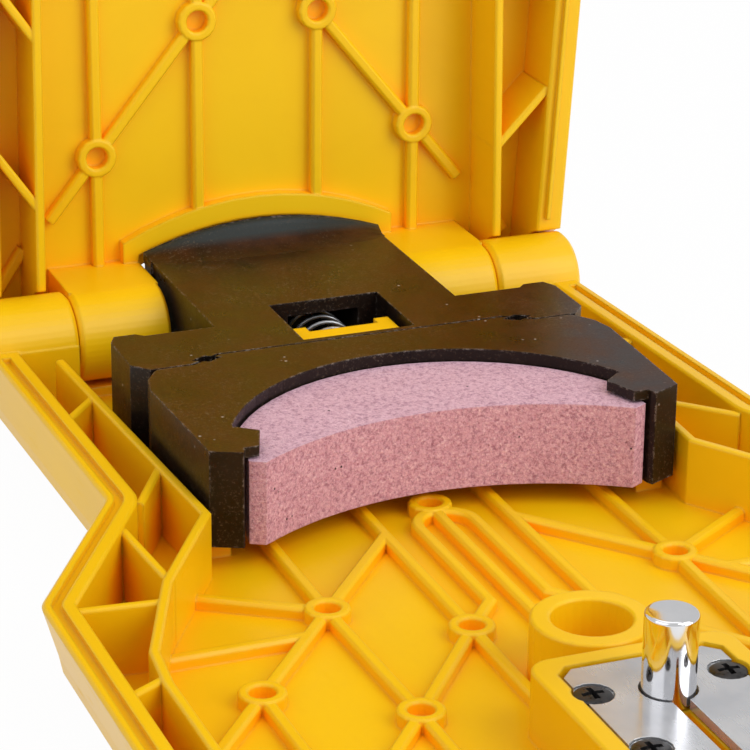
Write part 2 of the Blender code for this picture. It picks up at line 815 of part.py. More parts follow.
def add_platform(base):
    """The platform with a rim round the bar plate, and its screw holes and slot."""
    top = PLATE_TOP + PLATFORM_RIM_RISE
    join(base, platform(top))
    tip = PLATE_TOP - SCREW_LENGTH - GAP
    high = top + OVERRUN
    profile = screw_profile(GAP, tip, high)
    bores = [turned("bore", spot, profile, SCREW_SIDES) for spot in screw_spots().values()]
    slot_low = PLATFORM_TOP - PLATE_SLOT_DEPTH
    slot_half = (-PLATE_SLOT_HALF_WIDTH, PLATE_SLOT_HALF_WIDTH)
    slot = box("slot", slot_half, (PLATE_SLOT_FRONT_Y, PIN_FRONT_Y), (slot_low, high))
    stem_low = PLATFORM_TOP - PIN_STEM_LENGTH
    stem = drum("stem", (0, PIN_Y), PIN_STEM_RADIUS + GAP, stem_low, high, SCREW_SIDES)
    cut(base, prism("seat", plate_outline(PLATE_SIDE_CLEARANCE), PLATFORM_TOP, high), *bores, slot, stem)


def add_ring(base):
    spot = (0, RING_Y)
    join(base, boss(spot, RING_RADIUS, RING_TOP, RING_SIDES))
    cut(base, soft_bore(spot, RING_BORE_RADIUS, RING_BORE_FLOOR, RING_TOP, RING_SIDES))


def add_loop(base):
    """The loop rib, whose ends turn out to the inner bosses, its middle rib and the rear boss."""
    half = LOOP_HALF_WIDTH
    bend = LOOP_REAR_Y - half
    turn_y = INNER_BOSS_Y + (INNER_RIB_X - half) / TRUSS_SLOPE
    turns = [math.pi * i / BOSS_SIDES for i in range(BOSS_SIDES + 1)]
    arch = [(half * math.cos(t), bend + half * math.sin(t)) for t in turns]
    right = [(INNER_RIB_X, INNER_BOSS_Y), (half, turn_y)]
    path = [*right, *arch, *reversed(mirrored(right))]
    middle = [(0, LOOP_REAR_Y), (0, RING_Y + RING_RADIUS - EMBED)]
    spot = (0, REAR_BOSS_Y)
    join(base, soft_rib(path), soft_rib(middle), boss(spot, BOSS_RADIUS, BOSS_TOP, BOSS_SIDES))
    cut(base, soft_bore(spot, BOSS_BORE_RADIUS, PANEL_THICKNESS, BOSS_TOP, BOSS_SIDES))


def add_spring_bracket(base):
    """Upright bracket inside the slide's window: a web across and a cheek on each side."""
    low = PANEL_THICKNESS - EMBED
    front = WINDOW_FRONT_Y + GAP
    half = BRACKET_HALF_WIDTH
    inner = half - BRACKET_CHEEK
    web = front + BRACKET_WEB
    outline = [
        (-half, front),
        (half, front),
        (half, BRACKET_REAR_Y),
        (inner, BRACKET_REAR_Y),
        (inner, web),
        (-inner, web),
        (-inner, BRACKET_REAR_Y),
        (-half, BRACKET_REAR_Y),
    ]
    join(base, prism("bracket", outline, low, BRACKET_TOP))


def add_rails(base):
    """Rails under the slide, with pockets from below for the heads of its guide screws."""
    low = PANEL_THICKNESS - EMBED
    rails = []
    pockets = []
    for side in (1, -1):
        for inner, outer, front, rear in (
            (RAIL_INNER_X, RAIL_OUTER_X, RAIL_FRONT_Y, RAIL_REAR_Y),
            (SIDE_RAIL_INNER_X, SIDE_RAIL_OUTER_X, SIDE_RAIL_FRONT_Y, SIDE_RAIL_REAR_Y),
            (NECK_RAIL_INNER_X, NECK_RAIL_OUTER_X, RAIL_REAR_Y - EMBED, NECK_RAIL_REAR_Y),
        ):
            rails.append(box("rail", sorted((side * inner, side * outer)), (front, rear), (low, RAIL_TOP)))
        pad = sorted((side * STOP_PAD_INNER, side * STOP_PAD_OUTER))
        stop_top = HINGE_Z - BARREL_RADIUS - GAP
        stop_y = (REAR_Y - REAR_CORNER_RADIUS - STOP_PAD_LENGTH, REAR_Y - REAR_CORNER_RADIUS)
        rails.append(box("stop", pad, stop_y, (low, stop_top)))
        for radius, bottom, top in (
            (GUIDE_SCREW_RADIUS + GAP, GUIDE_POCKET_DEPTH - EMBED, RAIL_TOP + OVERRUN),
            (WASHER_RADIUS + GAP, -OVERRUN, GUIDE_POCKET_DEPTH),
        ):
            pockets.append(long_hole(side * GUIDE_SCREW_X, radius, bottom, top))
    join(base, *rails)
    cut(base, *pockets)


def long_hole(x, radius, low, high):
    """A hole along y that is as long as the slide's travel."""
    turns = [math.pi * i / SLIM_SIDES for i in range(SLIM_SIDES + 1)]
    rear = [(x + radius * math.cos(t), GUIDE_SCREW_Y + radius * math.sin(t)) for t in turns]
    front = [(x - radius * math.cos(t), GUIDE_SCREW_Y - TRAVEL - radius * math.sin(t)) for t in turns]
    return prism("long_hole", rear + front, low, high)


def latch_x(out):
    return GRIP_HALF_WIDTH + out


def make_base(material):
    base = case_block("base_case", False, CASE_DEPTH)
    cut(base, *base_cavities())
    join(base, *inner_walls(base_wall_path(), INNER_WALL_TOP))
    shares = (BASE_CELL_SHARES, BASE_CELL_SHARES)
    join(base, *cell_ribs(shares, False, base_wall_path(), CELL_RIB_TOP))
    truss = base_truss()
    join(base, *panel_ribs(truss["ribs"]))
    add_ring(base)
    add_loop(base)
    ring_bosses(base, truss["bosses"])
    add_platform(base)
    add_rails(base)
    add_spring_bracket(base)
    end = HINGE_HALF_WIDTH - STEP
    knuckles = []
    for side in (1, -1):
        ends = sorted((side * (KNUCKLE_SPLIT - STEP), side * end))
        knuckles.append(knuckle("knuckle", *ends, HINGE_Z))
    join(base, *knuckles)
    catch_top = catch_range()
    catches = []
    for side in (1, -1):
        x_range = sorted((side * latch_x(-GRIP_DRAFT - EMBED), side * latch_x(CATCH_OUT)))
        y_range = (LATCH_Y - CATCH_HALF_LENGTH, LATCH_Y + CATCH_HALF_LENGTH)
        catches.append(box("catch", x_range, y_range, catch_top))
    join(base, *catches)
    bores = [hinge_bore(side, HINGE_Z) for side in (1, -1)]
    path = rim_path(False, GROOVE_REAR_Y)
    high = CASE_DEPTH + OVERRUN
    groove = wall("groove", path, GROOVE_WIDTH, CASE_DEPTH - GROOVE_DEPTH, high)
    cut(base, *bores, groove, mouth(high))
    base.data.materials.append(material)
    return base


def catch_range():
    """Height range of the base's catches, just above the closed latches' hooks."""
    closed_pivot = 2 * CASE_DEPTH - LATCH_PIVOT_Z
    low = closed_pivot - LATCH_REACH + LATCH_HOOK_THICKNESS + GAP
    return (low, low + CATCH_HEIGHT)


def mouth(high):
    """Cutter for the guide bar's way in through the front rim."""
    half = (-MOUTH_HALF_WIDTH, MOUTH_HALF_WIDTH)
    return box("mouth", half, (FRONT_Y - OVERRUN, FRONT_Y + RIM_WIDTH + OVERRUN), (MOUTH_SILL, high))


def hinge_bore(side, height):
    inner = side * (NOTCH_HALF_WIDTH - OVERRUN)
    outer = side * (HINGE_PIN_END + GAP)
    return barrel("bore", inner, outer, HINGE_PIN_RADIUS + GAP, height, PIN_SIDES)


def knuckle_clearances():
    """Cutters that free the lid's sides from the base's knuckles."""
    inner = KNUCKLE_SPLIT - GAP
    outer = HINGE_HALF_WIDTH + OVERRUN
    low = LID_HINGE_Z - BARREL_RADIUS - GAP
    high = LID_DEPTH + OVERRUN
    cutters = []
    for side in (1, -1):
        ends = sorted((side * inner, side * outer))
        cutters.append(barrel("clearance", *ends, BARREL_RADIUS + GAP, LID_HINGE_Z, BARREL_SIDES))
        cutters.append(box("clearance", ends, (HINGE_Y, REAR_Y + OVERRUN), (low, high)))
    return cutters


def hinge_lugs():
    """Blocks that carry the lid's knuckles, and the knuckles themselves."""
    lugs = []
    low = PANEL_THICKNESS - EMBED
    for side in (1, -1):
        ends = sorted((side * (NOTCH_HALF_WIDTH - STEP), side * (KNUCKLE_SPLIT - GAP)))
        x_range = (ends[0] + STEP, ends[1] - STEP)
        lugs.append(box("lug", x_range, (BARREL_FRONT_Y, REAR_Y - STEP), (low, LID_HINGE_Z)))
        lugs.append(knuckle("knuckle", *ends, LID_HINGE_Z))
    return lugs


def notch_outline(apex_y, radius, half_width):
    """Outline of an arch that is open to the rear."""
    arch = arc((0, apex_y + radius), radius, -half_width, half_width, BAND_STEPS, -1)
    far = REAR_Y + OVERRUN
    return [*arch, (half_width, far), (-half_width, far)]


def add_notch(lid):
    """Arched notch over the slide's button, with a band standing round it."""
    centre = (0, BAND_APEX_Y + BAND_RADIUS)
    half = BAND_HALF_WIDTH
    rear = BARREL_FRONT_Y + EMBED
    outline = [*arc(centre, BAND_RADIUS, -half, half, BAND_STEPS, -1), (half, rear), (-half, rear)]
    join(lid, prism("band", outline, PANEL_THICKNESS - EMBED, BOSS_TOP))
    high = LID_HINGE_Z + BARREL_RADIUS + OVERRUN
    inner = notch_outline(NOTCH_APEX_Y, NOTCH_RADIUS, NOTCH_HALF_WIDTH)
    outer = notch_outline(NOTCH_APEX_Y + NOTCH_STEP, PANEL_NOTCH_RADIUS, NOTCH_HALF_WIDTH)
    cut(lid, prism("notch", outer, -OVERRUN, high), prism("notch", inner, PANEL_THICKNESS, high))


def lid_truss():
    """Ribs of the lid's panel on the right side."""
    reach = LID_OUTER_RIB_X - LID_INNER_RIB_X
    slope = reach / LID_TRUSS_PITCH
    front = FRONT_Y + RIM_WIDTH - EMBED
    bosses = []
    ribs = []
    for run in range(LID_TRUSS_RUNS):
        outer_y = LID_BOSS_Y - run * LID_TRUSS_SPACING
        outer_boss = (LID_OUTER_RIB_X, outer_y)
        inner_boss = (LID_INNER_RIB_X, outer_y - LID_TRUSS_PITCH)
        end_y = outer_y + (LID_RIB_END_X - LID_OUTER_RIB_X) / slope
        bosses += [outer_boss, inner_boss]
        ribs.append([(LID_RIB_END_X, end_y), outer_boss])
        ribs.append([outer_boss, inner_boss])
        ribs.append([inner_boss, (0, inner_boss[1] - LID_INNER_RIB_X / slope)])
    ribs.append([(LID_INNER_RIB_X, NOTCH_APEX_Y), (LID_INNER_RIB_X, front)])
    ribs.append([(LID_OUTER_RIB_X, BARREL_FRONT_Y + EMBED), (LID_OUTER_RIB_X, front)])
    ribs.append([(LID_STUB_INNER_X, LID_STUB_INNER_Y), (LID_STUB_OUTER_X, LID_STUB_OUTER_Y)])
    return bosses, ribs


def add_pad(lid):
    """Pad that presses the guide bar on its plate, with a bore for the locating pin."""
    join(lid, platform(PAD_TOP))
    radius = PIN_RADIUS + PAD_BORE_CLEARANCE
    cut(lid, soft_bore((0, PIN_Y), radius, PAD_BORE_FLOOR, PAD_TOP, PIN_SIDES))


def add_latch_ears(lid):
    ears = []
    bores = []
    inner = LATCH_HALF_LENGTH + GAP
    outer = inner + LATCH_EAR_THICKNESS
    top = LID_DEPTH - GAP
    for side in (1, -1):
        x_range = sorted((side * latch_x(-GRIP_DRAFT - EMBED), side * latch_x(LATCH_EAR_OUT)))
        for low, high in ((-outer, -inner), (inner, outer)):
            ears.append(box("ear", x_range, (LATCH_Y + low, LATCH_Y + high), (LATCH_EAR_LOW, top)))
        spot = (side * latch_x(LATCH_PIVOT_OUT), LATCH_PIVOT_Z)
        hole = circle(spot, LATCH_PIN_RADIUS + GAP, SLIM_SIDES)
        reach = outer + OVERRUN
        bores.append(along_y("bore", hole, LATCH_Y - reach, LATCH_Y + reach))
    join(lid, *ears)
    cut(lid, *bores)


def make_lid(material):
    """The lid, modelled on its back and then stood up on its hinge."""
    lid = case_block("lid_case", True, LID_DEPTH)
    cut(lid, well(inset(half_corners(True), RIM_WIDTH), LID_DEPTH))
    join(lid, *inner_walls(lid_wall_path(), LID_DEPTH - INNER_WALL_DROP))
    shares = (LID_LEFT_CELL_SHARES, LID_RIGHT_CELL_SHARES)
    join(lid, *cell_ribs(shares, True, lid_wall_path(), LID_DEPTH - CELL_RIB_DROP))
    bosses, ribs = lid_truss()
    join(lid, *panel_ribs(ribs))
    cut(lid, *knuckle_clearances())
    join(lid, *hinge_lugs())
    add_notch(lid)
    ring_bosses(lid, bosses)
    add_pad(lid)
    add_latch_ears(lid)
    tongue_width = GROOVE_WIDTH - 2 * GAP
    tongue_top = LID_DEPTH + GROOVE_DEPTH - GAP + LID_GAP
    path = rim_path(True, GROOVE_REAR_Y - GAP)
    join(lid, wall("tongue", path, tongue_width, LID_DEPTH - EMBED, tongue_top))
    bores = [hinge_bore(side, LID_HINGE_Z) for side in (1, -1)]
    cut(lid, *bores, mouth(tongue_top + OVERRUN))
    lid.data.transform(Matrix.Translation((0, -HINGE_Y, -LID_HINGE_Z)))
    lid.location = (0, HINGE_Y, HINGE_Z)
    lid.rotation_euler = (-math.pi / 2, 0, math.pi)
    lid.data.materials.append(material)
    return lid


def make_hinge_pin(name, side, material):
    inner = side * (NOTCH_HALF_WIDTH + GAP)
    outer = side * HINGE_PIN_END
    outline = circle((0, 0), HINGE_PIN_RADIUS, PIN_SIDES)
    pin = along_x(name, outline, inner, outer)
    pin.location = (0, HINGE_Y, HINGE_Z)
    pin.data.materials.append(material)
    return pin


def make_latch(name, side, lid, material):
    """A swing latch, modelled hooked about its pivot and then swung open; side is the lid's own."""
    half = (-LATCH_HALF_LENGTH, LATCH_HALF_LENGTH)
    arm_x = (LATCH_ARM_INNER_OUT - LATCH_PIVOT_OUT, LATCH_ARM_OUTER_OUT - LATCH_PIVOT_OUT)
    hook_x = (LATCH_HOOK_OUT - LATCH_PIVOT_OUT, arm_x[1])
    hook_low = LATCH_REACH - LATCH_HOOK_THICKNESS
    outline = [
        (arm_x[0], 0),
        (arm_x[1], 0),
        (arm_x[1], LATCH_REACH),
        (hook_x[0], LATCH_REACH),
        (hook_x[0], hook_low),
        (arm_x[0], hook_low),
    ]
    latch = along_y(name, [(side * x, z) for x, z in outline], *half)
    inset_half = LATCH_HALF_LENGTH - STEP
    outer = circle((0, 0), LATCH_BARREL_RADIUS, SLIM_SIDES)
    join(latch, along_y("barrel", outer, -inset_half, inset_half))
    reach = LATCH_HALF_LENGTH + OVERRUN
    inner = circle((0, 0), LATCH_PIN_RADIUS + GAP, SLIM_SIDES)
    cut(latch, along_y("bore", inner, -reach, reach))
    place_on_lid(latch, side, lid, material)
    latch.rotation_euler = (0, side * LATCH_OPEN_ANGLE, 0)
    return latch


def make_latch_pin(name, side, lid, material):
    reach = LATCH_HALF_LENGTH + GAP + LATCH_EAR_THICKNESS
    pin = along_y(name, circle((0, 0), LATCH_PIN_RADIUS, SLIM_SIDES), -reach, reach)
    place_on_lid(pin, side, lid, material)
    return pin


def place_on_lid(piece, side, lid, material):
    piece.parent = lid
    across = side * latch_x(LATCH_PIVOT_OUT)
    piece.location = (across, LATCH_Y - HINGE_Y, LATCH_PIVOT_Z - LID_HINGE_Z)
    piece.data.materials.append(material)


def slide_outline():
    """Outline of the slide seen from above: the flange with its ears, and the neck behind it."""
    nick_x = FLANGE_HALF_WIDTH - NICK_DEPTH
    ear_x = FLANGE_HALF_WIDTH - EAR_WIDTH
    ear_y = FLANGE_REAR_Y + EAR_RISE
    right = [
        (TONGUE_HALF_WIDTH + GAP, HOLDER_REAR_Y + TONGUE_LENGTH + GAP),
        (TONGUE_ROOT_HALF_WIDTH + GAP, FLANGE_FRONT_Y),
        (nick_x, FLANGE_FRONT_Y),
        (FLANGE_HALF_WIDTH, FLANGE_FRONT_Y + NICK_LENGTH),
        (FLANGE_HALF_WIDTH, FLANGE_REAR_Y - EAR_RISE),
        (FLANGE_HALF_WIDTH - EAR_RISE, ear_y),
        (ear_x, ear_y),
        (ear_x - EAR_RISE, FLANGE_REAR_Y),
        (NECK_HALF_WIDTH, FLANGE_REAR_Y),
        (NECK_HALF_WIDTH, BUTTON_REAR_Y - BUTTON_PLATE + EMBED),
    ]
    return both_sides(right)


def crowned(half_width, low, edge, crown):
    """An (x, z) outline with a flat foot and an arched top."""
    top = []
    for i in range(CROWN_POINTS + 1):
        share = 1 - 2 * i / CROWN_POINTS
        top.append((half_width * share, edge + crown * (1 - share * share)))
    return [(-half_width, low), (half_width, low), *top]


def button_forms():
    """The button's end wall, and the crowned flare that rises to its rear edge."""
    half = BUTTON_HALF_WIDTH - STEP
    y_range = (BUTTON_REAR_Y - BUTTON_PLATE, BUTTON_REAR_Y - STEP)
    end_wall = box("end_wall", (-half, half), y_range, (SLIDE_BOTTOM, SLIDE_TOP - STEP))
    low = SLIDE_TOP - SLIDE_WALL / 2
    rings = []
    for i in range(FLARE_STEPS + 1):
        share = i / FLARE_STEPS
        rise = share * share
        y = BUTTON_REAR_Y - FLARE_LENGTH * (1 - share)
        edge = SLIDE_TOP - 2 * STEP + (CROWN_EDGE_RISE + 2 * STEP) * rise
        half = NECK_HALF_WIDTH - STEP + (BUTTON_HALF_WIDTH - NECK_HALF_WIDTH + STEP) * rise
        rings.append([(x, y, z) for x, z in crowned(half, low, edge, CROWN_HEIGHT * rise)])
    return end_wall, loft("flare", rings)


def slide_pockets():
    """Cutters that open the slide from below, its window and the spring's pocket."""
    low = SLIDE_BOTTOM - OVERRUN
    roof = SLIDE_TOP - SLIDE_WALL
    pocket = SPRING_RADIUS + SPRING_POCKET_CLEARANCE
    window_x = (-WINDOW_HALF_WIDTH, WINDOW_HALF_WIDTH)
    window_y = (WINDOW_FRONT_Y, WINDOW_REAR_Y)
    spring_y = (WINDOW_REAR_Y - OVERRUN, SPRING_POCKET_REAR_Y)
    cutters = [
        box("window", window_x, window_y, (low, SLIDE_TOP + OVERRUN)),
        box("spring_pocket", (-pocket, pocket), spring_y, (low, SPRING_Z + pocket)),
    ]
    tip = guide_head_top() + GUIDE_SCREW_LENGTH + GAP
    neck_x = (pocket + SLIDE_WALL, NECK_HALF_WIDTH - SLIDE_WALL)
    neck_y = (WINDOW_REAR_Y + SLIDE_WALL, BUTTON_REAR_Y - BUTTON_PLATE - SLIDE_WALL)
    flange_x = (GUIDE_SCREW_X + GUIDE_SCREW_HEAD_RADIUS + SLIDE_WALL, FLANGE_HALF_WIDTH - SLIDE_WALL)
    front = HOLDER_REAR_Y + TONGUE_LENGTH + GAP + SLIDE_WALL
    flange_y = (front, FLANGE_REAR_Y - SLIDE_WALL)
    for side in (1, -1):
        for name, x_pair, y_pair in (("neck", neck_x, neck_y), ("flange", flange_x, flange_y)):
            cutters.append(box(name, sorted((side * x_pair[0], side * x_pair[1])), y_pair, (low, roof)))
        spot = (side * GUIDE_SCREW_X, GUIDE_SCREW_Y)
        cutters.append(drum("bore", spot, GUIDE_SCREW_RADIUS + GAP, low, tip, SCREW_SIDES))
        cutters.append(key_gap(side))
    return cutters


def key_gap(side):
    """Small diamond-shaped gap at the end of the joint between the slide and the stone holder."""
    outline = [
        (side * KEY_GAP_X - KEY_GAP_HALF_LENGTH, KEY_GAP_Y),
        (side * KEY_GAP_X, KEY_GAP_Y - KEY_GAP_HALF_WIDTH),
        (side * KEY_GAP_X + KEY_GAP_HALF_LENGTH, KEY_GAP_Y),
        (side * KEY_GAP_X, KEY_GAP_Y + KEY_GAP_HALF_WIDTH),
    ]
    return prism("key_gap", outline, SLIDE_BOTTOM - OVERRUN, SLIDE_TOP + OVERRUN)


def make_slide(material):
    slide = prism("push_slide", slide_outline(), SLIDE_BOTTOM, SLIDE_TOP)
    join(slide, *button_forms())
    cut(slide, *slide_pockets())
    rear = SPRING_POCKET_REAR_Y + EMBED
    spigot = circle((0, SPRING_Z), SPIGOT_RADIUS, SCREW_SIDES)
    join(slide, along_y("spigot", spigot, rear - SPIGOT_LENGTH, rear))
    slide.data.materials.append(material)
    return slide


def make_holder(material):
    """The stone's holder: a block with two arms round a curved recess, and a tongue behind."""
    corner = HOLDER_REAR_HALF_WIDTH - HOLDER_CORNER
    right = [
        (ARM_INNER_X, ARM_INNER_Y + 2 * ARM_CHAMFER),
        (ARM_INNER_X + ARM_CHAMFER, ARM_INNER_Y),
        (HOLDER_FRONT_HALF_WIDTH, 0),
        (HOLDER_REAR_HALF_WIDTH, HOLDER_SHOULDER_Y),
        (HOLDER_REAR_HALF_WIDTH - HOLDER_CORNER / 4, HOLDER_REAR_Y - HOLDER_CORNER),
        (corner + HOLDER_CORNER / 4, HOLDER_REAR_Y - HOLDER_CORNER / 4),
        (corner, HOLDER_REAR_Y),
        (TONGUE_ROOT_HALF_WIDTH, HOLDER_REAR_Y),
        (TONGUE_HALF_WIDTH, HOLDER_REAR_Y + TONGUE_LENGTH),
    ]
    centre = (0, RECESS_CENTRE_Y)
    recess = arc(centre, RECESS_RADIUS, -RECESS_END_X, RECESS_END_X, RECESS_STEPS, 1)
    holder = prism("stone_holder", both_sides(right) + recess, SLIDE_BOTTOM, SLIDE_TOP)
    hooks = []
    for side in (1, -1):
        outline = [
            (HOOK_TIP_X, HOOK_TIP_Y),
            (HOOK_FRONT_X, HOOK_FRONT_Y),
            (ARM_INNER_X + HOOK_ROOT, HOOK_FRONT_Y),
            (ARM_INNER_X + HOOK_ROOT, HOOK_TIP_Y + HOOK_ROOT),
            (RECESS_END_X - GAP, HOOK_TIP_Y + HOOK_ROOT),
        ]
        placed = [(side * x, y) for x, y in outline]
        hooks.append(prism("hook", placed, STONE_TOP + GAP, SLIDE_TOP))
    join(holder, *hooks)
    cut(holder, key_gap(1), key_gap(-1))
    holder.data.materials.append(material)
    return holder


def make_stone(material):
    """The grinding stone: its back fits the holder's recess and its face fits the chain's curve."""
    side_x = ARM_INNER_X - STONE_SIDE_CLEARANCE
    root_x = RECESS_END_X - STONE_SIDE_CLEARANCE
    radius = RECESS_RADIUS - GAP
    back_centre = (0, RECESS_CENTRE_Y)
    face_centre = (0, STONE_FACE_APEX_Y - STONE_FACE_RADIUS)
    back = arc(back_centre, radius, root_x, -root_x, STONE_STEPS, 1)
    face = arc(face_centre, STONE_FACE_RADIUS, -STONE_FACE_END_X, STONE_FACE_END_X, STONE_STEPS, 1)
    outline = [*face, (side_x, STONE_CORNER_Y), *back, (-side_x, STONE_CORNER_Y)]
    stone = prism("grinding_stone", outline, SLIDE_BOTTOM, STONE_TOP)
    stone.data.materials.append(material)
    return stone


def spring_points():
    """Centre line of the return spring, whose ends run straight against their seats."""
    front = WINDOW_FRONT_Y + GAP + BRACKET_WEB + GAP
    rear = SPRING_POCKET_REAR_Y - GAP
    radius = SPRING_RADIUS - SPRING_WIRE_RADIUS
    lead = 2 * SPRING_WIRE_RADIUS
    total = SPRING_CURLS * SPRING_CURL_POINTS
    points = [Vector((radius, front, SPRING_Z))]
    for i in range(total + 1):
        turn = 2 * math.pi * i / SPRING_CURL_POINTS
        y = front + lead + (rear - front - 2 * lead) * i / total
        points.append(Vector((radius * math.cos(turn), y, SPRING_Z + radius * math.sin(turn))))
    points.append(Vector((radius, rear, SPRING_Z)))
    return points


def least_gap(points):
    """The least gap between the spring's turns, measured over its points."""
    least = None
    for i, here in enumerate(points):
        for there in points[i + SPRING_CURL_POINTS - 2:]:
            distance = (here - there).length - 2 * SPRING_WIRE_RADIUS
            least = distance if least is None else min(least, distance)
    return least


def make_spring(material):
    points = spring_points()
    print(f"return_spring: least gap {least_gap(points) / MILLIMETRE:.2f} mm")
    curve = bpy.data.curves.new("return_spring", "CURVE")
    curve.dimensions = "3D"
    curve.bevel_depth = SPRING_WIRE_RADIUS
    curve.bevel_resolution = 1
    curve.use_fill_caps = True
    spline = curve.splines.new("POLY")
    spline.points.add(len(points) - 1)
    for target, point in zip(spline.points, points):
        target.co = (*point, 1)
    spring = new_object("return_spring", curve)
    curve.materials.append(material)
    return spring


def make_bar_plate(material):
    plate = prism("bar_plate", plate_outline(0), PLATE_BOTTOM, PLATE_TOP)
    low = PLATE_BOTTOM - OVERRUN
    high = PLATE_TOP + OVERRUN
    half = (-PLATE_SLOT_HALF_WIDTH, PLATE_SLOT_HALF_WIDTH)
    holes = [box("slot", half, (PLATE_SLOT_FRONT_Y, PIN_Y), (low, high))]
    holes.append(drum("pin", (0, PIN_Y), PIN_RADIUS + GAP, low, high, PIN_SIDES))
    for spot in screw_spots().values():
        holes.append(turned("hole", spot, screw_profile(GAP, low, high), SCREW_SIDES))
    cut(plate, *holes)
    plate.data.materials.append(material)
    return plate


def make_plate_screw(name, spot, material):
    profile = screw_profile(0, PLATE_TOP - SCREW_LENGTH, PLATE_TOP + SCREW_HEAD_RISE)
    screw = turned(name, (0, 0), profile, SCREW_SIDES)
    screw.location = (*spot, 0)
    screw.data.materials.append(material)
    return screw


def make_locating_pin(material):
    """The pin stands through the plate, on the platform, with its stem in the base."""
    foot = PLATFORM_TOP + GAP
    middle = PIN_EDGE_ROUND * PIN_EDGE_SHARE
    profile = [
        (PIN_STEM_RADIUS, foot - PIN_STEM_LENGTH),
        (PIN_STEM_RADIUS, foot),
        (PIN_RADIUS, foot),
        (PIN_RADIUS, PIN_TOP - PIN_EDGE_ROUND),
        (PIN_RADIUS - middle, PIN_TOP - middle),
        (PIN_RADIUS - PIN_EDGE_ROUND, PIN_TOP),
    ]
    pin = turned("locating_pin", (0, 0), profile, PIN_SIDES)
    pin.location = (0, PIN_Y, 0)
    pin.data.materials.append(material)
    return pin


def guide_head_top():
    return GUIDE_POCKET_DEPTH - GAP - WASHER_THICKNESS - GAP


def make_guide_screw(name, side, material):
    """Shoulder screw that holds the slide down from below."""
    seat = guide_head_top()
    profile = [
        (GUIDE_SCREW_HEAD_RADIUS, seat - GUIDE_SCREW_HEAD),
        (GUIDE_SCREW_HEAD_RADIUS, seat),
        (GUIDE_SCREW_RADIUS, seat),
        (GUIDE_SCREW_RADIUS, seat + GUIDE_SCREW_LENGTH),
    ]
    screw = turned(name, (0, 0), profile, SCREW_SIDES)
    screw.location = (side * GUIDE_SCREW_X, GUIDE_SCREW_Y, 0)
    screw.data.materials.append(material)
    return screw


def make_guide_washer(name, side, material):
    low = guide_head_top() + GAP
    high = low + WASHER_THICKNESS
    washer = drum(name, (0, 0), WASHER_RADIUS, low, high, PIN_SIDES)
    hole_radius = GUIDE_SCREW_RADIUS + GAP
    cut(washer, drum("hole", (0, 0), hole_radius, low - OVERRUN, high + OVERRUN, SCREW_SIDES))
    washer.location = (side * GUIDE_SCREW_X, GUIDE_SCREW_Y, 0)
    washer.data.materials.append(material)
    return washer


def shade(item):
    """Smooth shading on round faces, with hard edges kept."""
    if item.type == "MESH":
        item.data.shade_smooth()
        item.data.set_sharp_from_angle(angle=math.radians(SHARP_ANGLE))


def main():
    clear_scene()
    yellow = plastic("yellow_plastic", (0.93, 0.48, 0.01), 0.32)
    black = plastic("black_plastic", (0.012, 0.010, 0.009), 0.30)
    abrasive = surface("pink_abrasive", (0.62, 0.27, 0.31), 0.95, 0.0)
    steel = surface("bright_steel", (0.58, 0.58, 0.60), 0.28, 1.0)
    chrome = surface("chrome", (0.72, 0.72, 0.74), 0.10, 1.0)
    dark_steel = surface("blackened_steel", (0.04, 0.04, 0.04), 0.40, 1.0)
    make_base(yellow)
    lid = make_lid(yellow)
    make_slide(black)
    make_holder(black)
    make_stone(abrasive)
    make_spring(steel)
    make_bar_plate(steel)
    make_locating_pin(chrome)
    for place, spot in screw_spots().items():
        make_plate_screw("plate_screw_" + place, spot, dark_steel)
    for word, side in (("left", -1), ("right", 1)):
        make_hinge_pin("hinge_pin_" + word, side, steel)
        make_guide_screw("guide_screw_" + word, side, steel)
        make_guide_washer("guide_washer_" + word, side, steel)
        make_latch("latch_" + word, -side, lid, black)
        make_latch_pin("latch_pin_" + word, -side, lid, steel)
    for item in bpy.data.objects:
        shade(item)


main()
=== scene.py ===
"""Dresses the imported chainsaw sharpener: moulded plastic, bonded grit and steel finishes, a wound
spring, screws with cross recesses, a turned pin, a pale floor, soft studio light and the
photograph's view."""

import json
import math

import bmesh
import bpy
from mathutils import Matrix, Vector


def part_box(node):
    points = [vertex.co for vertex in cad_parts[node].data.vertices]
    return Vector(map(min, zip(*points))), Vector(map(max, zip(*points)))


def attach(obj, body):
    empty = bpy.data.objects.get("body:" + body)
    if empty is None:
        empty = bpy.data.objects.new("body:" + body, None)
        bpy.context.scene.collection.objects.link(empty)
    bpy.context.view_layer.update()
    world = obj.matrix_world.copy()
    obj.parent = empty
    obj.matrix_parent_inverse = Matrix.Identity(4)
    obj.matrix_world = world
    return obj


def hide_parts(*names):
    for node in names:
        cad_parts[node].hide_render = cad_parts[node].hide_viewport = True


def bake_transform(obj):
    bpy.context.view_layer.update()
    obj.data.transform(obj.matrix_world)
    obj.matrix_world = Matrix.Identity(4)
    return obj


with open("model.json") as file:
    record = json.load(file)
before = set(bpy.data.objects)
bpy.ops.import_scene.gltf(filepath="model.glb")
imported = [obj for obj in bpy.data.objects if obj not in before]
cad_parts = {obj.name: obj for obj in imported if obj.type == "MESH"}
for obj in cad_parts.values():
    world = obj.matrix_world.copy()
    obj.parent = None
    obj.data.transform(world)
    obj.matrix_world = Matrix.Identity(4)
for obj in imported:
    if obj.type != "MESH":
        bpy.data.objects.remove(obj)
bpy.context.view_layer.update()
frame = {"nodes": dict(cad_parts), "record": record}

MM = 0.001

# The photograph's view, found from the case's right angles; lens and sensor are in millimetres
VIEW_PLACE = Vector((-138.52, -321.39, 164.41)) * MM
VIEW_YAW = math.radians(21.76)
VIEW_PITCH = math.radians(21.86)
VIEW_ROLL = math.radians(0.607)
VIEW_LENS = 144.43
SENSOR_WIDTH = 36.0
NEAREST_SEEN = 10 * MM

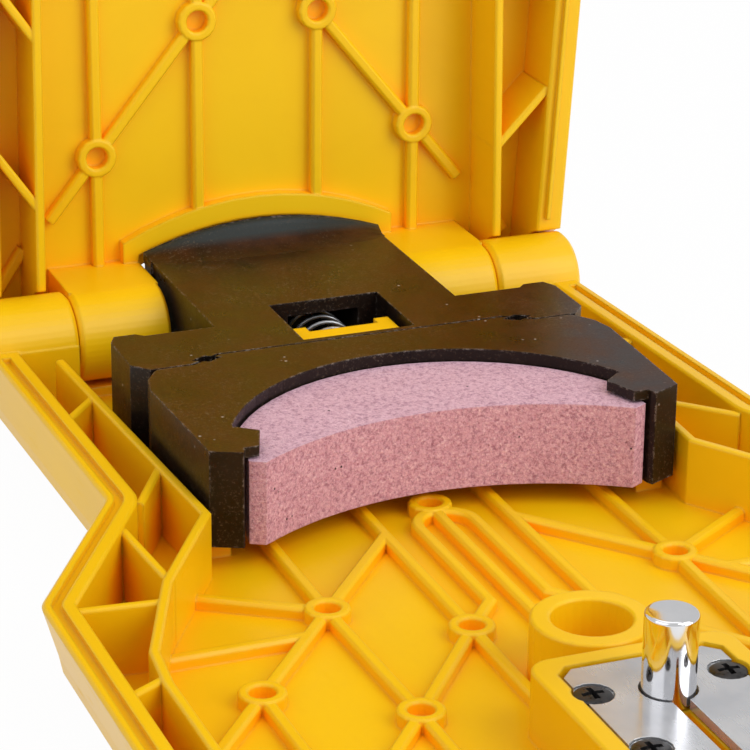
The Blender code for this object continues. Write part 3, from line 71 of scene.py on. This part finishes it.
# Studio light, in metres and watts: the point that the lamps face, then each one's place, power
# and size
LIT_POINT = (0.0, 0.0, 0.03)
LAMPS = {
    "key": ((0.46, -0.62, 0.68), 5.0, 0.70),
    "front": ((0.66, -0.72, 0.17), 1.9, 0.60),
    "fill": ((-0.70, -0.25, 0.55), 1.5, 0.80),
    "top": ((0.0, 0.15, 0.95), 1.0, 0.70),
}
WORLD_STRENGTH = 0.67
WHITE = (1.0, 1.0, 1.0)

# Floor: its gap under the object, its half width, its finish and its share of plain white
FLOOR_DROP = 0.2 * MM
FLOOR_SIZE = 3.0
FLOOR_TONE = (0.80, 0.80, 0.80)
FLOOR_ROUGHNESS = 0.9
FLOOR_GLOW = 0.97

# Places that the finishes, the painted sheen and the painted shade follow: the lid's hinge line,
# the reach of the button's crown from it, the height at which that crown starts, and the base's rim
# heights
_, HINGE_Y, HINGE_Z = next(joint["pos_m"] for joint in frame["record"]["behaviour"]["joints"]
                           if joint["name"] == "lid_hinge")
CROWN_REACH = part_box("push_slide")[1][2] - HINGE_Z
SLIDE_TOP = 18.5 * MM
RIM_LOW = 9.0 * MM
RIM_HIGH = 12.5 * MM

# Crevice shade: how far it looks for a wall, the share of it that the rim keeps, and its rays at
# each point, which the softened edges use too
CREVICE_REACH = 5.0 * MM
RIM_SHADE = 0.25
RAY_SAMPLES = 4

# Tones in linear red, green and blue, from dark to pale where there are several
YELLOW_TONES = ((0.80, 0.468, 0.0016), (0.88, 0.535, 0.0028))
YELLOW_FLOW = (0.77, 0.425, 0.0012)
# Painted shade: the deeper orange laid into crevices
YELLOW_PAINTED_SHADE = (1.00, 0.430, 0.0010)
# Paler edges: partly wear, partly a painted highlight
YELLOW_WEAR_AND_HIGHLIGHT = (0.95, 0.69, 0.050)
BLACK_SIDES = ((0.0045, 0.0028, 0.0020), (0.0120, 0.0060, 0.0040))
# Upward faces: partly mottled stains, partly a painted reflection of the yellow lid
BLACK_STAINS_AND_REFLECTION = ((0.0060, 0.0018, 0.0009), (0.0220, 0.0048, 0.0012), (0.0430, 0.0120, 0.0028))
# Painted grey-blue sheen on the button's crown
BLACK_PAINTED_CROWN_SHEEN = (0.0190, 0.0270, 0.0290)
BLACK_SAND = (0.120, 0.085, 0.060)
BLACK_RUBBED = (0.260, 0.220, 0.200)
BLACK_DUST = (0.34, 0.30, 0.28)
BLACK_GLOSS = (0.97, 0.92, 0.87)
STONE_BOND = (
    (0.420, 0.160, 0.225), (0.580, 0.295, 0.375), (0.700, 0.420, 0.490), (0.900, 0.700, 0.740))
STONE_GRAINS = ((0.430, 0.190, 0.250), (0.800, 0.520, 0.590))
STONE_CLOUD = (0.530, 0.260, 0.325)
# Paler tone laid on upward faces
STONE_UPPER_TONE = (0.800, 0.620, 0.760)
STONE_SUGAR = ((0.55, 0.46, 0.51), (0.96, 0.94, 0.95), (1.00, 1.00, 1.00))
STONE_SPECK = (0.035, 0.018, 0.020)
STONE_CHIPPED = (0.790, 0.540, 0.585)
PLATE_TONES = ((0.55, 0.56, 0.59), (0.68, 0.69, 0.71))
PLATE_RUBBED = (0.86, 0.86, 0.88)
WIRE_TONES = ((0.24, 0.25, 0.26), (0.40, 0.41, 0.43))
CHROME_TONES = ((0.74, 0.74, 0.76), (0.82, 0.82, 0.84))
SCREW_TONES = ((0.020, 0.019, 0.020), (0.060, 0.056, 0.057))
SCREW_BARE = (0.30, 0.29, 0.29)

# Return spring; the pitch of its end curls is in wire radii
WIRE_RADIUS = 0.30 * MM
CURLS = 7
END_CURLS = 0.75
END_PITCH = 2.2
STEPS_PER_CURL = 28
WIRE_SIDES = 10

# Cross-recessed screws
CROSS_HALF_LENGTH = 1.30 * MM
CROSS_HALF_WIDTH = 0.34 * MM
CROSS_TAPER = 0.55
CROSS_DEPTH = 1.10 * MM
HEAD_DOME = 0.18 * MM
HEAD_EDGE = 0.22 * MM
HEAD_LIP = 0.30 * MM
HEAD_RINGS = 4
SHANK_RADIUS = 1.10 * MM
SCREW_SIDES = 48
OVERRUN = 0.5 * MM
WELD_REACH = 0.002 * MM

# Locating pin
PIN_EDGE_ROUND = 0.50 * MM
PIN_STEM_RADIUS = 1.60 * MM
PIN_STEM_LENGTH = 4.50 * MM
PIN_EDGE_STEPS = 6
PIN_SIDES = 96

# The turn between two faces, in degrees, from which their edge stays sharp
SHARP_ANGLE = 35.0
WIRE_SHARP_ANGLE = 60.0

# Most of a noise's values lie within this span
NOISE_SPAN = (0.3, 0.7)

# A Mix node's sockets share their names, so they are told apart by place
MIX_SHARE = 0
MIX_VECTORS = (4, 5)
MIX_VECTOR = 1
MIX_COLOURS = (6, 7)
MIX_COLOUR = 2


class Shader:
    """A material's node tree with short ways to add and join nodes. Scales are per metre."""

    def __init__(self, name):
        self.material = bpy.data.materials.new(name)
        self.material.use_nodes = True
        self.tree = self.material.node_tree
        self.surface = self.tree.nodes["Principled BSDF"]
        self.place = self.add("ShaderNodeTexCoord").outputs["Object"]

    def add(self, kind, **settings):
        node = self.tree.nodes.new(kind)
        for key, value in settings.items():
            setattr(node, key, value)
        return node

    def join(self, source, target):
        self.tree.links.new(source, target)

    def give(self, socket, value):
        """Joins the socket to another, or sets its own number or colour."""
        if isinstance(value, bpy.types.NodeSocket):
            self.join(value, socket)
        else:
            socket.default_value = (*value, 1.0) if isinstance(value, tuple) else value

    def set(self, **values):
        """Gives the surface's sockets their values or joins them."""
        for key, value in values.items():
            self.give(self.surface.inputs[key.replace("_", " ")], value)

    def stretched(self, scale):
        """The place on the object, scaled along each axis: a scale under 1 draws marks out."""
        node = self.add("ShaderNodeMapping")
        self.join(self.place, node.inputs["Vector"])
        node.inputs["Scale"].default_value = scale
        return node.outputs["Vector"]

    def noise(self, scale, detail=2.0, roughness=0.5, distortion=0.0, place=None):
        node = self.add("ShaderNodeTexNoise")
        self.join(place or self.place, node.inputs["Vector"])
        node.inputs["Scale"].default_value = scale
        node.inputs["Detail"].default_value = detail
        node.inputs["Roughness"].default_value = roughness
        node.inputs["Distortion"].default_value = distortion
        return node.outputs["Fac"]

    def cells(self, scale):
        """Outputs of random cells: Distance grows from their middles, Color differs by cell."""
        node = self.add("ShaderNodeTexVoronoi")
        self.join(self.place, node.inputs["Vector"])
        node.inputs["Scale"].default_value = scale
        return node.outputs

    def ramp(self, source, tones, positions=NOISE_SPAN):
        """Passes through tones as a value goes through positions."""
        node = self.add("ShaderNodeValToRGB")
        self.join(source, node.inputs["Fac"])
        elements = node.color_ramp.elements
        while len(elements) < len(tones):
            elements.new(0.5)
        for element, position, tone in zip(elements, positions, tones):
            element.position = position
            element.color = (*tone, 1.0)
        return node.outputs["Color"]

    def steps(self, source, low, high, bottom=0.0, top=1.0):
        """Goes from bottom to top as a value goes from low to high, and stays within them."""
        node = self.add("ShaderNodeMapRange")
        self.join(source, node.inputs["Value"])
        node.inputs["From Min"].default_value = low
        node.inputs["From Max"].default_value = high
        node.inputs["To Min"].default_value = bottom
        node.inputs["To Max"].default_value = top
        return node.outputs["Result"]

    def spread(self, noise, bottom, top):
        """Goes from bottom to top as a noise goes through its span."""
        return self.steps(noise, *NOISE_SPAN, bottom, top)

    def maths(self, operation, first, second):
        node = self.add("ShaderNodeMath", operation=operation)
        self.give(node.inputs[0], first)
        self.give(node.inputs[1], second)
        return node.outputs["Value"]

    def times(self, first, second):
        return self.maths("MULTIPLY", first, second)

    def plus(self, first, second):
        return self.maths("ADD", first, second)

    def most(self, first, second):
        return self.maths("MAXIMUM", first, second)

    def blend(self, share, first, second, mode="MIX"):
        """A colour between two others."""
        node = self.add("ShaderNodeMix", data_type="RGBA", blend_type=mode)
        for socket, value in zip((MIX_SHARE, *MIX_COLOURS), (share, first, second)):
            self.give(node.inputs[socket], value)
        return node.outputs[MIX_COLOUR]

    def bend(self, share, first, second):
        """A direction between two others."""
        node = self.add("ShaderNodeMix", data_type="VECTOR")
        for socket, value in zip((MIX_SHARE, *MIX_VECTORS), (share, first, second)):
            self.give(node.inputs[socket], value)
        return node.outputs[MIX_VECTOR]

    def softened(self, radius):
        """The surface's direction with its edges rounded off by a radius."""
        node = self.add("ShaderNodeBevel", samples=RAY_SAMPLES)
        node.inputs["Radius"].default_value = radius
        return node.outputs["Normal"]

    def edges(self, radius, flat=0.97, sharp=0.80):
        """How close a point is to an edge, from 0 to 1. Flat and sharp are the cosines, between
        the softened and the true direction, at which it is 0 and 1."""
        node = self.add("ShaderNodeVectorMath", operation="DOT_PRODUCT")
        self.join(self.softened(radius), node.inputs[0])
        self.join(self.add("ShaderNodeNewGeometry").outputs["Normal"], node.inputs[1])
        return self.steps(node.outputs["Value"], flat, sharp)

    def openness(self, reach):
        """How open the space over a point is within a reach, from 0 in a crevice to 1."""
        node = self.add("ShaderNodeAmbientOcclusion", samples=RAY_SAMPLES)
        node.inputs["Distance"].default_value = reach
        return node.outputs["AO"]

    def upness(self):
        """How much a surface faces up, from -1 to 1."""
        node = self.add("ShaderNodeSeparateXYZ")
        self.join(self.add("ShaderNodeNewGeometry").outputs["Normal"], node.inputs["Vector"])
        return node.outputs["Z"]

    def height(self):
        """A point's height over the floor, in metres."""
        node = self.add("ShaderNodeSeparateXYZ")
        self.join(self.place, node.inputs["Vector"])
        return node.outputs["Z"]

    def swing(self, y, z):
        """A point's distance in metres from the line along x at y and z."""
        flat = self.add("ShaderNodeVectorMath", operation="MULTIPLY")
        self.join(self.place, flat.inputs[0])
        flat.inputs[1].default_value = (0.0, 1.0, 1.0)
        node = self.add("ShaderNodeVectorMath", operation="DISTANCE")
        self.join(flat.outputs["Vector"], node.inputs[0])
        node.inputs[1].default_value = (0.0, y, z)
        return node.outputs["Value"]

    def bump(self, height, strength, distance, normal=None):
        """The surface's direction with a relief laid over it."""
        node = self.add("ShaderNodeBump")
        self.join(height, node.inputs["Height"])
        node.inputs["Strength"].default_value = strength
        node.inputs["Distance"].default_value = distance
        if normal is not None:
            self.join(normal, node.inputs["Normal"])
        return node.outputs["Normal"]


def yellow_plastic():
    """Glossy moulded plastic: slow changes of tone, flow marks, painted orange shade in crevices,
    paler edges that are partly wear and partly a painted highlight.
    """
    shader = Shader("moulded_yellow")
    cloud = shader.noise(22.0, detail=3.0)
    tone = shader.ramp(cloud, YELLOW_TONES, (0.32, 0.68))
    along = shader.stretched((1.0, 0.12, 1.0))
    flow = shader.noise(60.0, detail=4.0, roughness=0.6, distortion=0.6, place=along)
    tone = shader.blend(shader.steps(flow, 0.45, 0.75, 0.0, 0.30), tone, YELLOW_FLOW)
    # Painted shade: crevices turn a deeper orange where little space over them is open, the base's
    # rim keeping only part of it
    painted_shade = shader.steps(shader.openness(CREVICE_REACH), 0.74, 0.26, 0.0, 0.90)
    over = shader.steps(shader.height(), RIM_LOW - MM, RIM_LOW)
    under = shader.steps(shader.height(), RIM_HIGH + MM, RIM_HIGH)
    rim = shader.steps(shader.times(over, under), 0.0, 1.0, 1.0, RIM_SHADE)
    tone = shader.blend(shader.times(painted_shade, rim), tone, YELLOW_PAINTED_SHADE)
    # Paler edges in patches: partly wear, partly a painted highlight along the edges
    patches = shader.steps(shader.noise(320.0, detail=3.0), 0.35, 0.65)
    wear_and_highlight = shader.times(shader.edges(0.30 * MM), patches)
    tone = shader.blend(shader.times(wear_and_highlight, 0.60), tone, YELLOW_WEAR_AND_HIGHLIGHT)
    scuffs = shader.noise(900.0, roughness=0.6, place=shader.stretched((1.0, 0.2, 1.0)))
    rough = shader.plus(shader.spread(cloud, 0.30, 0.38),
                        shader.steps(scuffs, 0.6, 0.8, 0.0, 0.12))
    shader.set(Base_Color=tone, Roughness=rough, Specular_IOR_Level=0.32)
    peel = shader.bump(shader.noise(1100.0, detail=1.0), 0.10, 0.03 * MM,
                       shader.softened(0.48 * MM))
    shader.set(Normal=shader.bump(shader.noise(120.0), 0.12, 0.10 * MM, peel))
    return shader.material


def black_plastic():
    """Filled black plastic: brown upper sides, partly stains and partly a painted reflection of the
    yellow lid, a painted grey sheen on the crown, fine grain, sand, pale dust and rubbed edges."""
    shader = Shader("moulded_black")
    cloud = shader.noise(130.0, detail=5.0, roughness=0.66)
    # Upward faces turn paler brown than the sides: partly mottled stains, partly a painted
    # reflection of the yellow lid
    stains_and_reflection = shader.ramp(cloud, BLACK_STAINS_AND_REFLECTION, (0.35, 0.50, 0.65))
    tone = shader.blend(shader.steps(shader.upness(), 0.30, 0.80),
                        shader.ramp(cloud, BLACK_SIDES, (0.35, 0.65)), stains_and_reflection)
    # Painted sheen: a grey-blue reflection laid on the button's crown, in an arc round the hinge
    crown = shader.steps(shader.height(), SLIDE_TOP, SLIDE_TOP + 0.2 * MM)
    far = shader.swing(HINGE_Y, HINGE_Z)
    sheen_arc = shader.times(shader.steps(far, CROWN_REACH - 1.30 * MM, CROWN_REACH - 0.10 * MM),
                       shader.steps(far, CROWN_REACH + 4.0 * MM, CROWN_REACH + 3.0 * MM))
    tone = shader.blend(shader.times(crown, sheen_arc), tone, BLACK_PAINTED_CROWN_SHEEN)
    sand = shader.times(shader.steps(shader.noise(2400.0, roughness=0.8), 0.56, 0.68),
                        shader.steps(shader.noise(75.0), 0.42, 0.62, 0.10, 0.60))
    tone = shader.blend(sand, tone, BLACK_SAND)
    patches = shader.steps(shader.noise(1500.0, detail=4.0, roughness=0.75), 0.50, 0.62)
    rubbed = shader.times(shader.edges(0.48 * MM, flat=0.985, sharp=0.86), patches)
    tone = shader.blend(shader.times(rubbed, 0.90), tone, BLACK_RUBBED)
    speck = shader.steps(shader.cells(620.0)["Distance"], 0.16, 0.06)
    rare = shader.steps(shader.noise(210.0, detail=1.0), 0.62, 0.68)
    tone = shader.blend(shader.times(speck, rare), tone, BLACK_DUST)
    grain = shader.noise(3200.0, roughness=0.7)
    rough = shader.plus(shader.spread(cloud, 0.25, 0.43), shader.spread(grain, -0.03, 0.05))
    shader.set(Base_Color=tone, Roughness=rough, Specular_IOR_Level=0.28,
               Specular_Tint=BLACK_GLOSS)
    round_edges = shader.bend(crown, shader.softened(0.16 * MM), shader.softened(0.90 * MM))
    fine = shader.bump(grain, 0.30, 0.03 * MM, round_edges)
    waves = shader.noise(300.0, detail=4.0, roughness=0.6)
    shader.set(Normal=shader.bump(waves, 0.20, 0.10 * MM, fine))
    return shader.material


def pink_stone():
    """Bonded grit: sugary grains of several pinks, pores, dark specks, and paler on its upward
    faces.
    """
    shader = Shader("bonded_pink_grit")
    grit = shader.cells(2600.0)
    fine = shader.noise(2600.0, detail=4.0, roughness=0.80)
    bond = shader.ramp(fine, STONE_BOND, (0.36, 0.46, 0.58, 0.70))
    tone = shader.blend(0.30, bond, shader.ramp(grit["Color"], STONE_GRAINS, (0.0, 1.0)))
    cloud = shader.steps(shader.noise(140.0, detail=4.0, roughness=0.6), 0.35, 0.68)
    tone = shader.blend(shader.times(cloud, 0.30), tone, STONE_CLOUD)
    # Paler towards the faces that look up
    upper_share = shader.steps(shader.upness(), 0.3, 0.9, 0.0, 0.32)
    tone = shader.blend(upper_share, tone, STONE_UPPER_TONE)
    sugar = shader.noise(1700.0, detail=4.0, roughness=0.8)
    pores = shader.ramp(sugar, STONE_SUGAR, (0.38, 0.50, 0.66))
    tone = shader.blend(0.85, tone, pores, "MULTIPLY")
    speck = shader.steps(shader.cells(900.0)["Distance"], 0.20, 0.10)
    rare = shader.steps(shader.noise(330.0, detail=1.0), 0.685, 0.70)
    tone = shader.blend(shader.times(speck, rare), tone, STONE_SPECK)
    chipped = shader.times(shader.edges(0.30 * MM), shader.steps(fine, 0.40, 0.60))
    tone = shader.blend(shader.times(chipped, 0.45), tone, STONE_CHIPPED)
    shader.set(Base_Color=tone, Roughness=0.93, Specular_IOR_Level=0.30)
    rough = shader.bump(fine, 0.85, 0.16 * MM, shader.softened(0.20 * MM))
    shader.set(Normal=shader.bump(grit["Distance"], 0.45, 0.10 * MM, rough))
    return shader.material


def brushed_steel():
    """Zinc-plated sheet: bright, with fine rolling lines, faint clouds and rubbed edges."""
    shader = Shader("bright_steel")
    lines = shader.noise(900.0, detail=4.0, roughness=0.6,
                         place=shader.stretched((1.0, 0.05, 1.0)))
    cloud = shader.noise(160.0, detail=3.0)
    tone = shader.ramp(cloud, PLATE_TONES)
    tone = shader.blend(shader.times(shader.edges(0.15 * MM), 0.5), tone, PLATE_RUBBED)
    rough = shader.plus(shader.spread(cloud, 0.20, 0.29), shader.spread(lines, -0.03, 0.05))
    shader.set(Base_Color=tone, Metallic=0.72, Roughness=rough)
    shader.set(Normal=shader.bump(lines, 0.08, 0.02 * MM, shader.softened(0.12 * MM)))
    return shader.material


def spring_wire():
    """Drawn spring wire: dull grey with fine marks and darker clouds."""
    shader = Shader("spring_wire")
    marks = shader.noise(1600.0, detail=3.0, roughness=0.6,
                         place=shader.stretched((1.0, 3.0, 1.0)))
    tone = shader.ramp(shader.noise(500.0, detail=3.0), WIRE_TONES)
    shader.set(Base_Color=tone, Metallic=0.85, Roughness=shader.spread(marks, 0.28, 0.42))
    shader.set(Normal=shader.bump(marks, 0.15, 0.02 * MM))
    return shader.material


def polished_chrome():
    """Chrome with faint turning marks and a little haze."""
    shader = Shader("polished_chrome")
    rings = shader.noise(700.0, detail=3.0, roughness=0.6,
                         place=shader.stretched((0.06, 0.06, 1.0)))
    haze = shader.noise(240.0, detail=3.0)
    tone = shader.ramp(haze, CHROME_TONES)
    shader.set(Base_Color=tone, Metallic=1.0, Roughness=shader.spread(haze, 0.05, 0.11))
    shader.set(Normal=shader.bump(rings, 0.05, 0.01 * MM))
    return shader.material


def blackened_steel():
    """Oxide-blacked screws: near black, with bare metal on the rubbed edges."""
    shader = Shader("blackened_steel")
    cloud = shader.noise(1400.0, detail=4.0, roughness=0.65)
    tone = shader.ramp(cloud, SCREW_TONES)
    bare = shader.times(shader.edges(0.10 * MM), shader.steps(cloud, 0.40, 0.60))
    tone = shader.blend(shader.times(bare, 0.6), tone, SCREW_BARE)
    shader.set(Base_Color=tone, Metallic=0.75, Roughness=shader.spread(cloud, 0.24, 0.42))
    shader.set(Normal=shader.bump(cloud, 0.25, 0.03 * MM))
    return shader.material


# The finish of each of the record's material slots, and the slot of each CAD node
FINISHES = {
    "yellow_plastic": yellow_plastic(),
    "black_plastic": black_plastic(),
    "pink_abrasive": pink_stone(),
    "bright_steel": brushed_steel(),
    "chrome": polished_chrome(),
    "blackened_steel": blackened_steel(),
}
SLOT_OF = {row["node"]: row["material_slot"] for row in frame["record"]["subparts"]}


def dress(item, finish):
    item.data.materials.clear()
    item.data.materials.append(finish)


def smooth(item, angle=SHARP_ANGLE):
    item.data.shade_smooth()
    item.data.set_sharp_from_angle(angle=math.radians(angle))


def corners(node):
    """A CAD node's lowest and highest corners at rest."""
    return [Vector(corner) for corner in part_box(node)]


def circle(count):
    """Angles of a full turn in equal steps."""
    return [2 * math.pi * i / count for i in range(count)]


def new_piece(name, shape):
    """Turns a shape into an object whose faces all look outward."""
    mesh = bpy.data.meshes.new(name)
    bmesh.ops.recalc_face_normals(shape, faces=shape.faces)
    shape.to_mesh(mesh)
    shape.free()
    piece = bpy.data.objects.new(name, mesh)
    bpy.context.scene.collection.objects.link(piece)
    return piece


def close_rings(shape, rings):
    """Skins a row of rings of equal counts and caps both ends."""
    levels = [[shape.verts.new(point) for point in ring] for ring in rings]
    count = len(rings[0])
    for low, high in zip(levels, levels[1:]):
        for i in range(count):
            j = (i + 1) % count
            shape.faces.new((low[i], low[j], high[j], high[i]))
    shape.faces.new(list(reversed(levels[0])))
    shape.faces.new(levels[-1])


def turned(name, centre, profile, sides):
    """A solid of revolution about a vertical line, from (radius, height) pairs going up."""
    shape = bmesh.new()
    rings = []
    for radius, height in profile:
        rings.append([(centre.x + radius * math.cos(t), centre.y + radius * math.sin(t), height)
                      for t in circle(sides)])
    close_rings(shape, rings)
    return new_piece(name, shape)


def stand_in(piece, node, finish=None):
    """The piece takes a CAD node's place and slot, with its own finish or else the slot's."""
    dress(piece, finish or FINISHES[SLOT_OF[node]])
    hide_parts(node)


def spring_line(low, high):
    """Centre line of a coil spring along y whose end curls lie close together."""
    radius = (high.x - low.x) / 2 - WIRE_RADIUS
    centre = (low + high) / 2
    front = low.y + WIRE_RADIUS
    rear = high.y - WIRE_RADIUS
    tight = END_PITCH * WIRE_RADIUS * END_CURLS
    total = CURLS + 2 * END_CURLS
    line = []
    for i in range(int(total * STEPS_PER_CURL) + 1):
        curl = i / STEPS_PER_CURL
        if curl < END_CURLS:
            y = front + tight * curl / END_CURLS
        elif curl > total - END_CURLS:
            y = rear - tight * (total - curl) / END_CURLS
        else:
            y = front + tight + (rear - front - 2 * tight) * (curl - END_CURLS) / CURLS
        turn = 2 * math.pi * curl
        line.append(Vector((centre.x + radius * math.cos(turn), y,
                            centre.z + radius * math.sin(turn))))
    return line


def add_spring():
    """A wound steel spring between the base's bracket and the slide."""
    low, high = corners("return_spring")
    line = spring_line(low, high)
    rings = []
    for i, here in enumerate(line):
        ahead = line[min(i + 1, len(line) - 1)] - line[max(i - 1, 0)]
        along = ahead.normalized()
        across = along.cross(Vector((0.0, 1.0, 0.0))).normalized()
        other = along.cross(across)
        rings.append([here + WIRE_RADIUS * (math.cos(t) * across + math.sin(t) * other)
                      for t in circle(WIRE_SIDES)])
    shape = bmesh.new()
    close_rings(shape, rings)
    spring = new_piece("wound_spring", shape)
    smooth(spring, WIRE_SHARP_ANGLE)
    stand_in(spring, "return_spring", spring_wire())
    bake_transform(spring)


def cross_cutter(centre, top):
    """A cross with tapered arms, which sinks into a screw's head."""
    levels = ((CROSS_TAPER, top - CROSS_DEPTH), (1.0, top - HEAD_DOME), (1.0, top + OVERRUN))
    shape = bmesh.new()
    for turn in (0.0, math.pi / 2):
        spin = Matrix.Rotation(turn, 3, "Z")
        rings = []
        for share, height in levels:
            reach = CROSS_HALF_LENGTH * share
            half = CROSS_HALF_WIDTH * share
            middle = Vector((centre.x, centre.y, height))
            ends = ((-reach, -half), (reach, -half), (reach, half), (-reach, half))
            rings.append([spin @ Vector((x, y, 0.0)) + middle for x, y in ends])
        close_rings(shape, rings)
    return new_piece("cross", shape)


def cut(piece, tool):
    """Cuts the tool out of the piece and welds the points that the cut doubles."""
    change = piece.modifiers.new("cut", "BOOLEAN")
    change.operation = "DIFFERENCE"
    change.solver = "EXACT"
    change.use_self = True
    change.object = tool
    graph = bpy.context.evaluated_depsgraph_get()
    result = bpy.data.meshes.new_from_object(piece.evaluated_get(graph))
    shape = bmesh.new()
    shape.from_mesh(result)
    bmesh.ops.remove_doubles(shape, verts=shape.verts, dist=WELD_REACH)
    bmesh.ops.dissolve_degenerate(shape, edges=shape.edges, dist=WELD_REACH)
    shape.to_mesh(result)
    shape.free()
    piece.modifiers.clear()
    piece.data = result
    bpy.data.objects.remove(tool)


def add_screw(node):
    """A countersunk screw with a softly domed head and a cross recess."""
    low, high = corners(node)
    centre = (low + high) / 2
    radius = (high.x - low.x) / 2
    inner = radius - HEAD_EDGE
    shoulder = high.z - HEAD_DOME
    seat = high.z - HEAD_LIP - HEAD_DOME
    profile = [
        (SHANK_RADIUS, low.z),
        (SHANK_RADIUS, seat - (radius - SHANK_RADIUS)),
        (radius, seat),
        (radius, shoulder - HEAD_EDGE / 2),
        (inner, shoulder),
    ]
    for i in range(1, HEAD_RINGS + 1):
        share = 1.0 - i / (HEAD_RINGS + 1)
        profile.append((inner * share, high.z - HEAD_DOME * share * share))
    screw = turned(node + "_head", centre, profile, SCREW_SIDES)
    cut(screw, cross_cutter(centre, high.z))
    smooth(screw)
    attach(screw, "base")
    stand_in(screw, node)


def add_pin():
    """The turned locating pin with its rounded upper edge and its stem."""
    low, high = corners("locating_pin")
    radius = (high.x - low.x) / 2
    foot = low.z + PIN_STEM_LENGTH
    profile = [(PIN_STEM_RADIUS, low.z), (PIN_STEM_RADIUS, foot), (radius, foot)]
    for i in range(PIN_EDGE_STEPS + 1):
        turn = math.pi / 2 * i / PIN_EDGE_STEPS
        inward = PIN_EDGE_ROUND * (1 - math.cos(turn))
        profile.append((radius - inward, high.z - PIN_EDGE_ROUND * (1 - math.sin(turn))))
    pin = turned("turned_pin", (low + high) / 2, profile, PIN_SIDES)
    smooth(pin)
    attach(pin, "base")
    stand_in(pin, "locating_pin")


def place_camera():
    """Looks at the object from the photograph's place, with its lens."""
    forward = Vector((math.sin(VIEW_YAW) * math.cos(VIEW_PITCH),
                      math.cos(VIEW_YAW) * math.cos(VIEW_PITCH), -math.sin(VIEW_PITCH)))
    level = Vector((math.cos(VIEW_YAW), -math.sin(VIEW_YAW), 0.0))
    above = level.cross(forward)
    right = math.cos(VIEW_ROLL) * level + math.sin(VIEW_ROLL) * above
    up = math.cos(VIEW_ROLL) * above - math.sin(VIEW_ROLL) * level
    lens = bpy.data.cameras.new("view")
    lens.lens = VIEW_LENS
    lens.sensor_width = SENSOR_WIDTH
    lens.clip_start = NEAREST_SEEN
    camera = bpy.data.objects.new("view", lens)
    bpy.context.scene.collection.objects.link(camera)
    camera.matrix_world = Matrix((
        (right.x, up.x, -forward.x, VIEW_PLACE.x),
        (right.y, up.y, -forward.y, VIEW_PLACE.y),
        (right.z, up.z, -forward.z, VIEW_PLACE.z),
        (0.0, 0.0, 0.0, 1.0)))
    bpy.context.scene.camera = camera


def add_lamp(name, place, power, size):
    """A square lamp that faces the lit point."""
    lamp = bpy.data.lights.new(name, "AREA")
    lamp.energy = power
    lamp.size = size
    holder = bpy.data.objects.new(name, lamp)
    bpy.context.scene.collection.objects.link(holder)
    holder.location = place
    facing = Vector(LIT_POINT) - Vector(place)
    holder.rotation_euler = facing.to_track_quat("-Z", "Y").to_euler()


def seen_rays(shader):
    """1 for the rays that show a backdrop as it is: the camera's, mirrored and transmitted ones."""
    path = shader.add("ShaderNodeLightPath").outputs
    mirrored = shader.most(path["Is Glossy Ray"], path["Is Transmission Ray"])
    return shader.most(path["Is Camera Ray"], mirrored)


def add_floor():
    """A pale floor that shows nearly white to the camera and keeps the object's shadow."""
    shape = bmesh.new()
    bmesh.ops.create_grid(shape, x_segments=1, y_segments=1, size=FLOOR_SIZE)
    floor = new_piece("floor", shape)
    floor.location.z = -FLOOR_DROP
    shader = Shader("pale_floor")
    shader.set(Base_Color=FLOOR_TONE, Roughness=FLOOR_ROUGHNESS)
    glow = shader.add("ShaderNodeEmission")
    mix = shader.add("ShaderNodeMixShader")
    output = shader.tree.nodes["Material Output"]
    shader.join(shader.times(seen_rays(shader), FLOOR_GLOW), mix.inputs[0])
    shader.join(shader.surface.outputs["BSDF"], mix.inputs[1])
    shader.join(glow.outputs["Emission"], mix.inputs[2])
    shader.join(mix.outputs["Shader"], output.inputs["Surface"])
    dress(floor, shader.material)


def light_world():
    """Even light on the object, and plain white where the camera sees past the floor."""
    world = bpy.data.worlds.new("studio")
    bpy.context.scene.world = world
    world.use_nodes = True
    nodes = world.node_tree.nodes
    links = world.node_tree.links
    sky = nodes["Background"]
    sky.inputs["Color"].default_value = (*WHITE, 1.0)
    sky.inputs["Strength"].default_value = WORLD_STRENGTH
    white = nodes.new("ShaderNodeBackground")
    white.inputs["Color"].default_value = (*WHITE, 1.0)
    mix = nodes.new("ShaderNodeMixShader")
    path = nodes.new("ShaderNodeLightPath")
    links.new(path.outputs["Is Camera Ray"], mix.inputs[0])
    links.new(sky.outputs["Background"], mix.inputs[1])
    links.new(white.outputs["Background"], mix.inputs[2])
    links.new(mix.outputs["Shader"], nodes["World Output"].inputs["Surface"])


place_camera()
for node_name, node_object in frame["nodes"].items():
    dress(node_object, FINISHES[SLOT_OF[node_name]])
add_spring()
add_pin()
for node_name in sorted(frame["nodes"]):
    if node_name.startswith("plate_screw"):
        add_screw(node_name)
light_world()
for lamp_name, settings in LAMPS.items():
    add_lamp(lamp_name, *settings)
add_floor()

bpy.context.scene.view_settings.view_transform = "Standard"
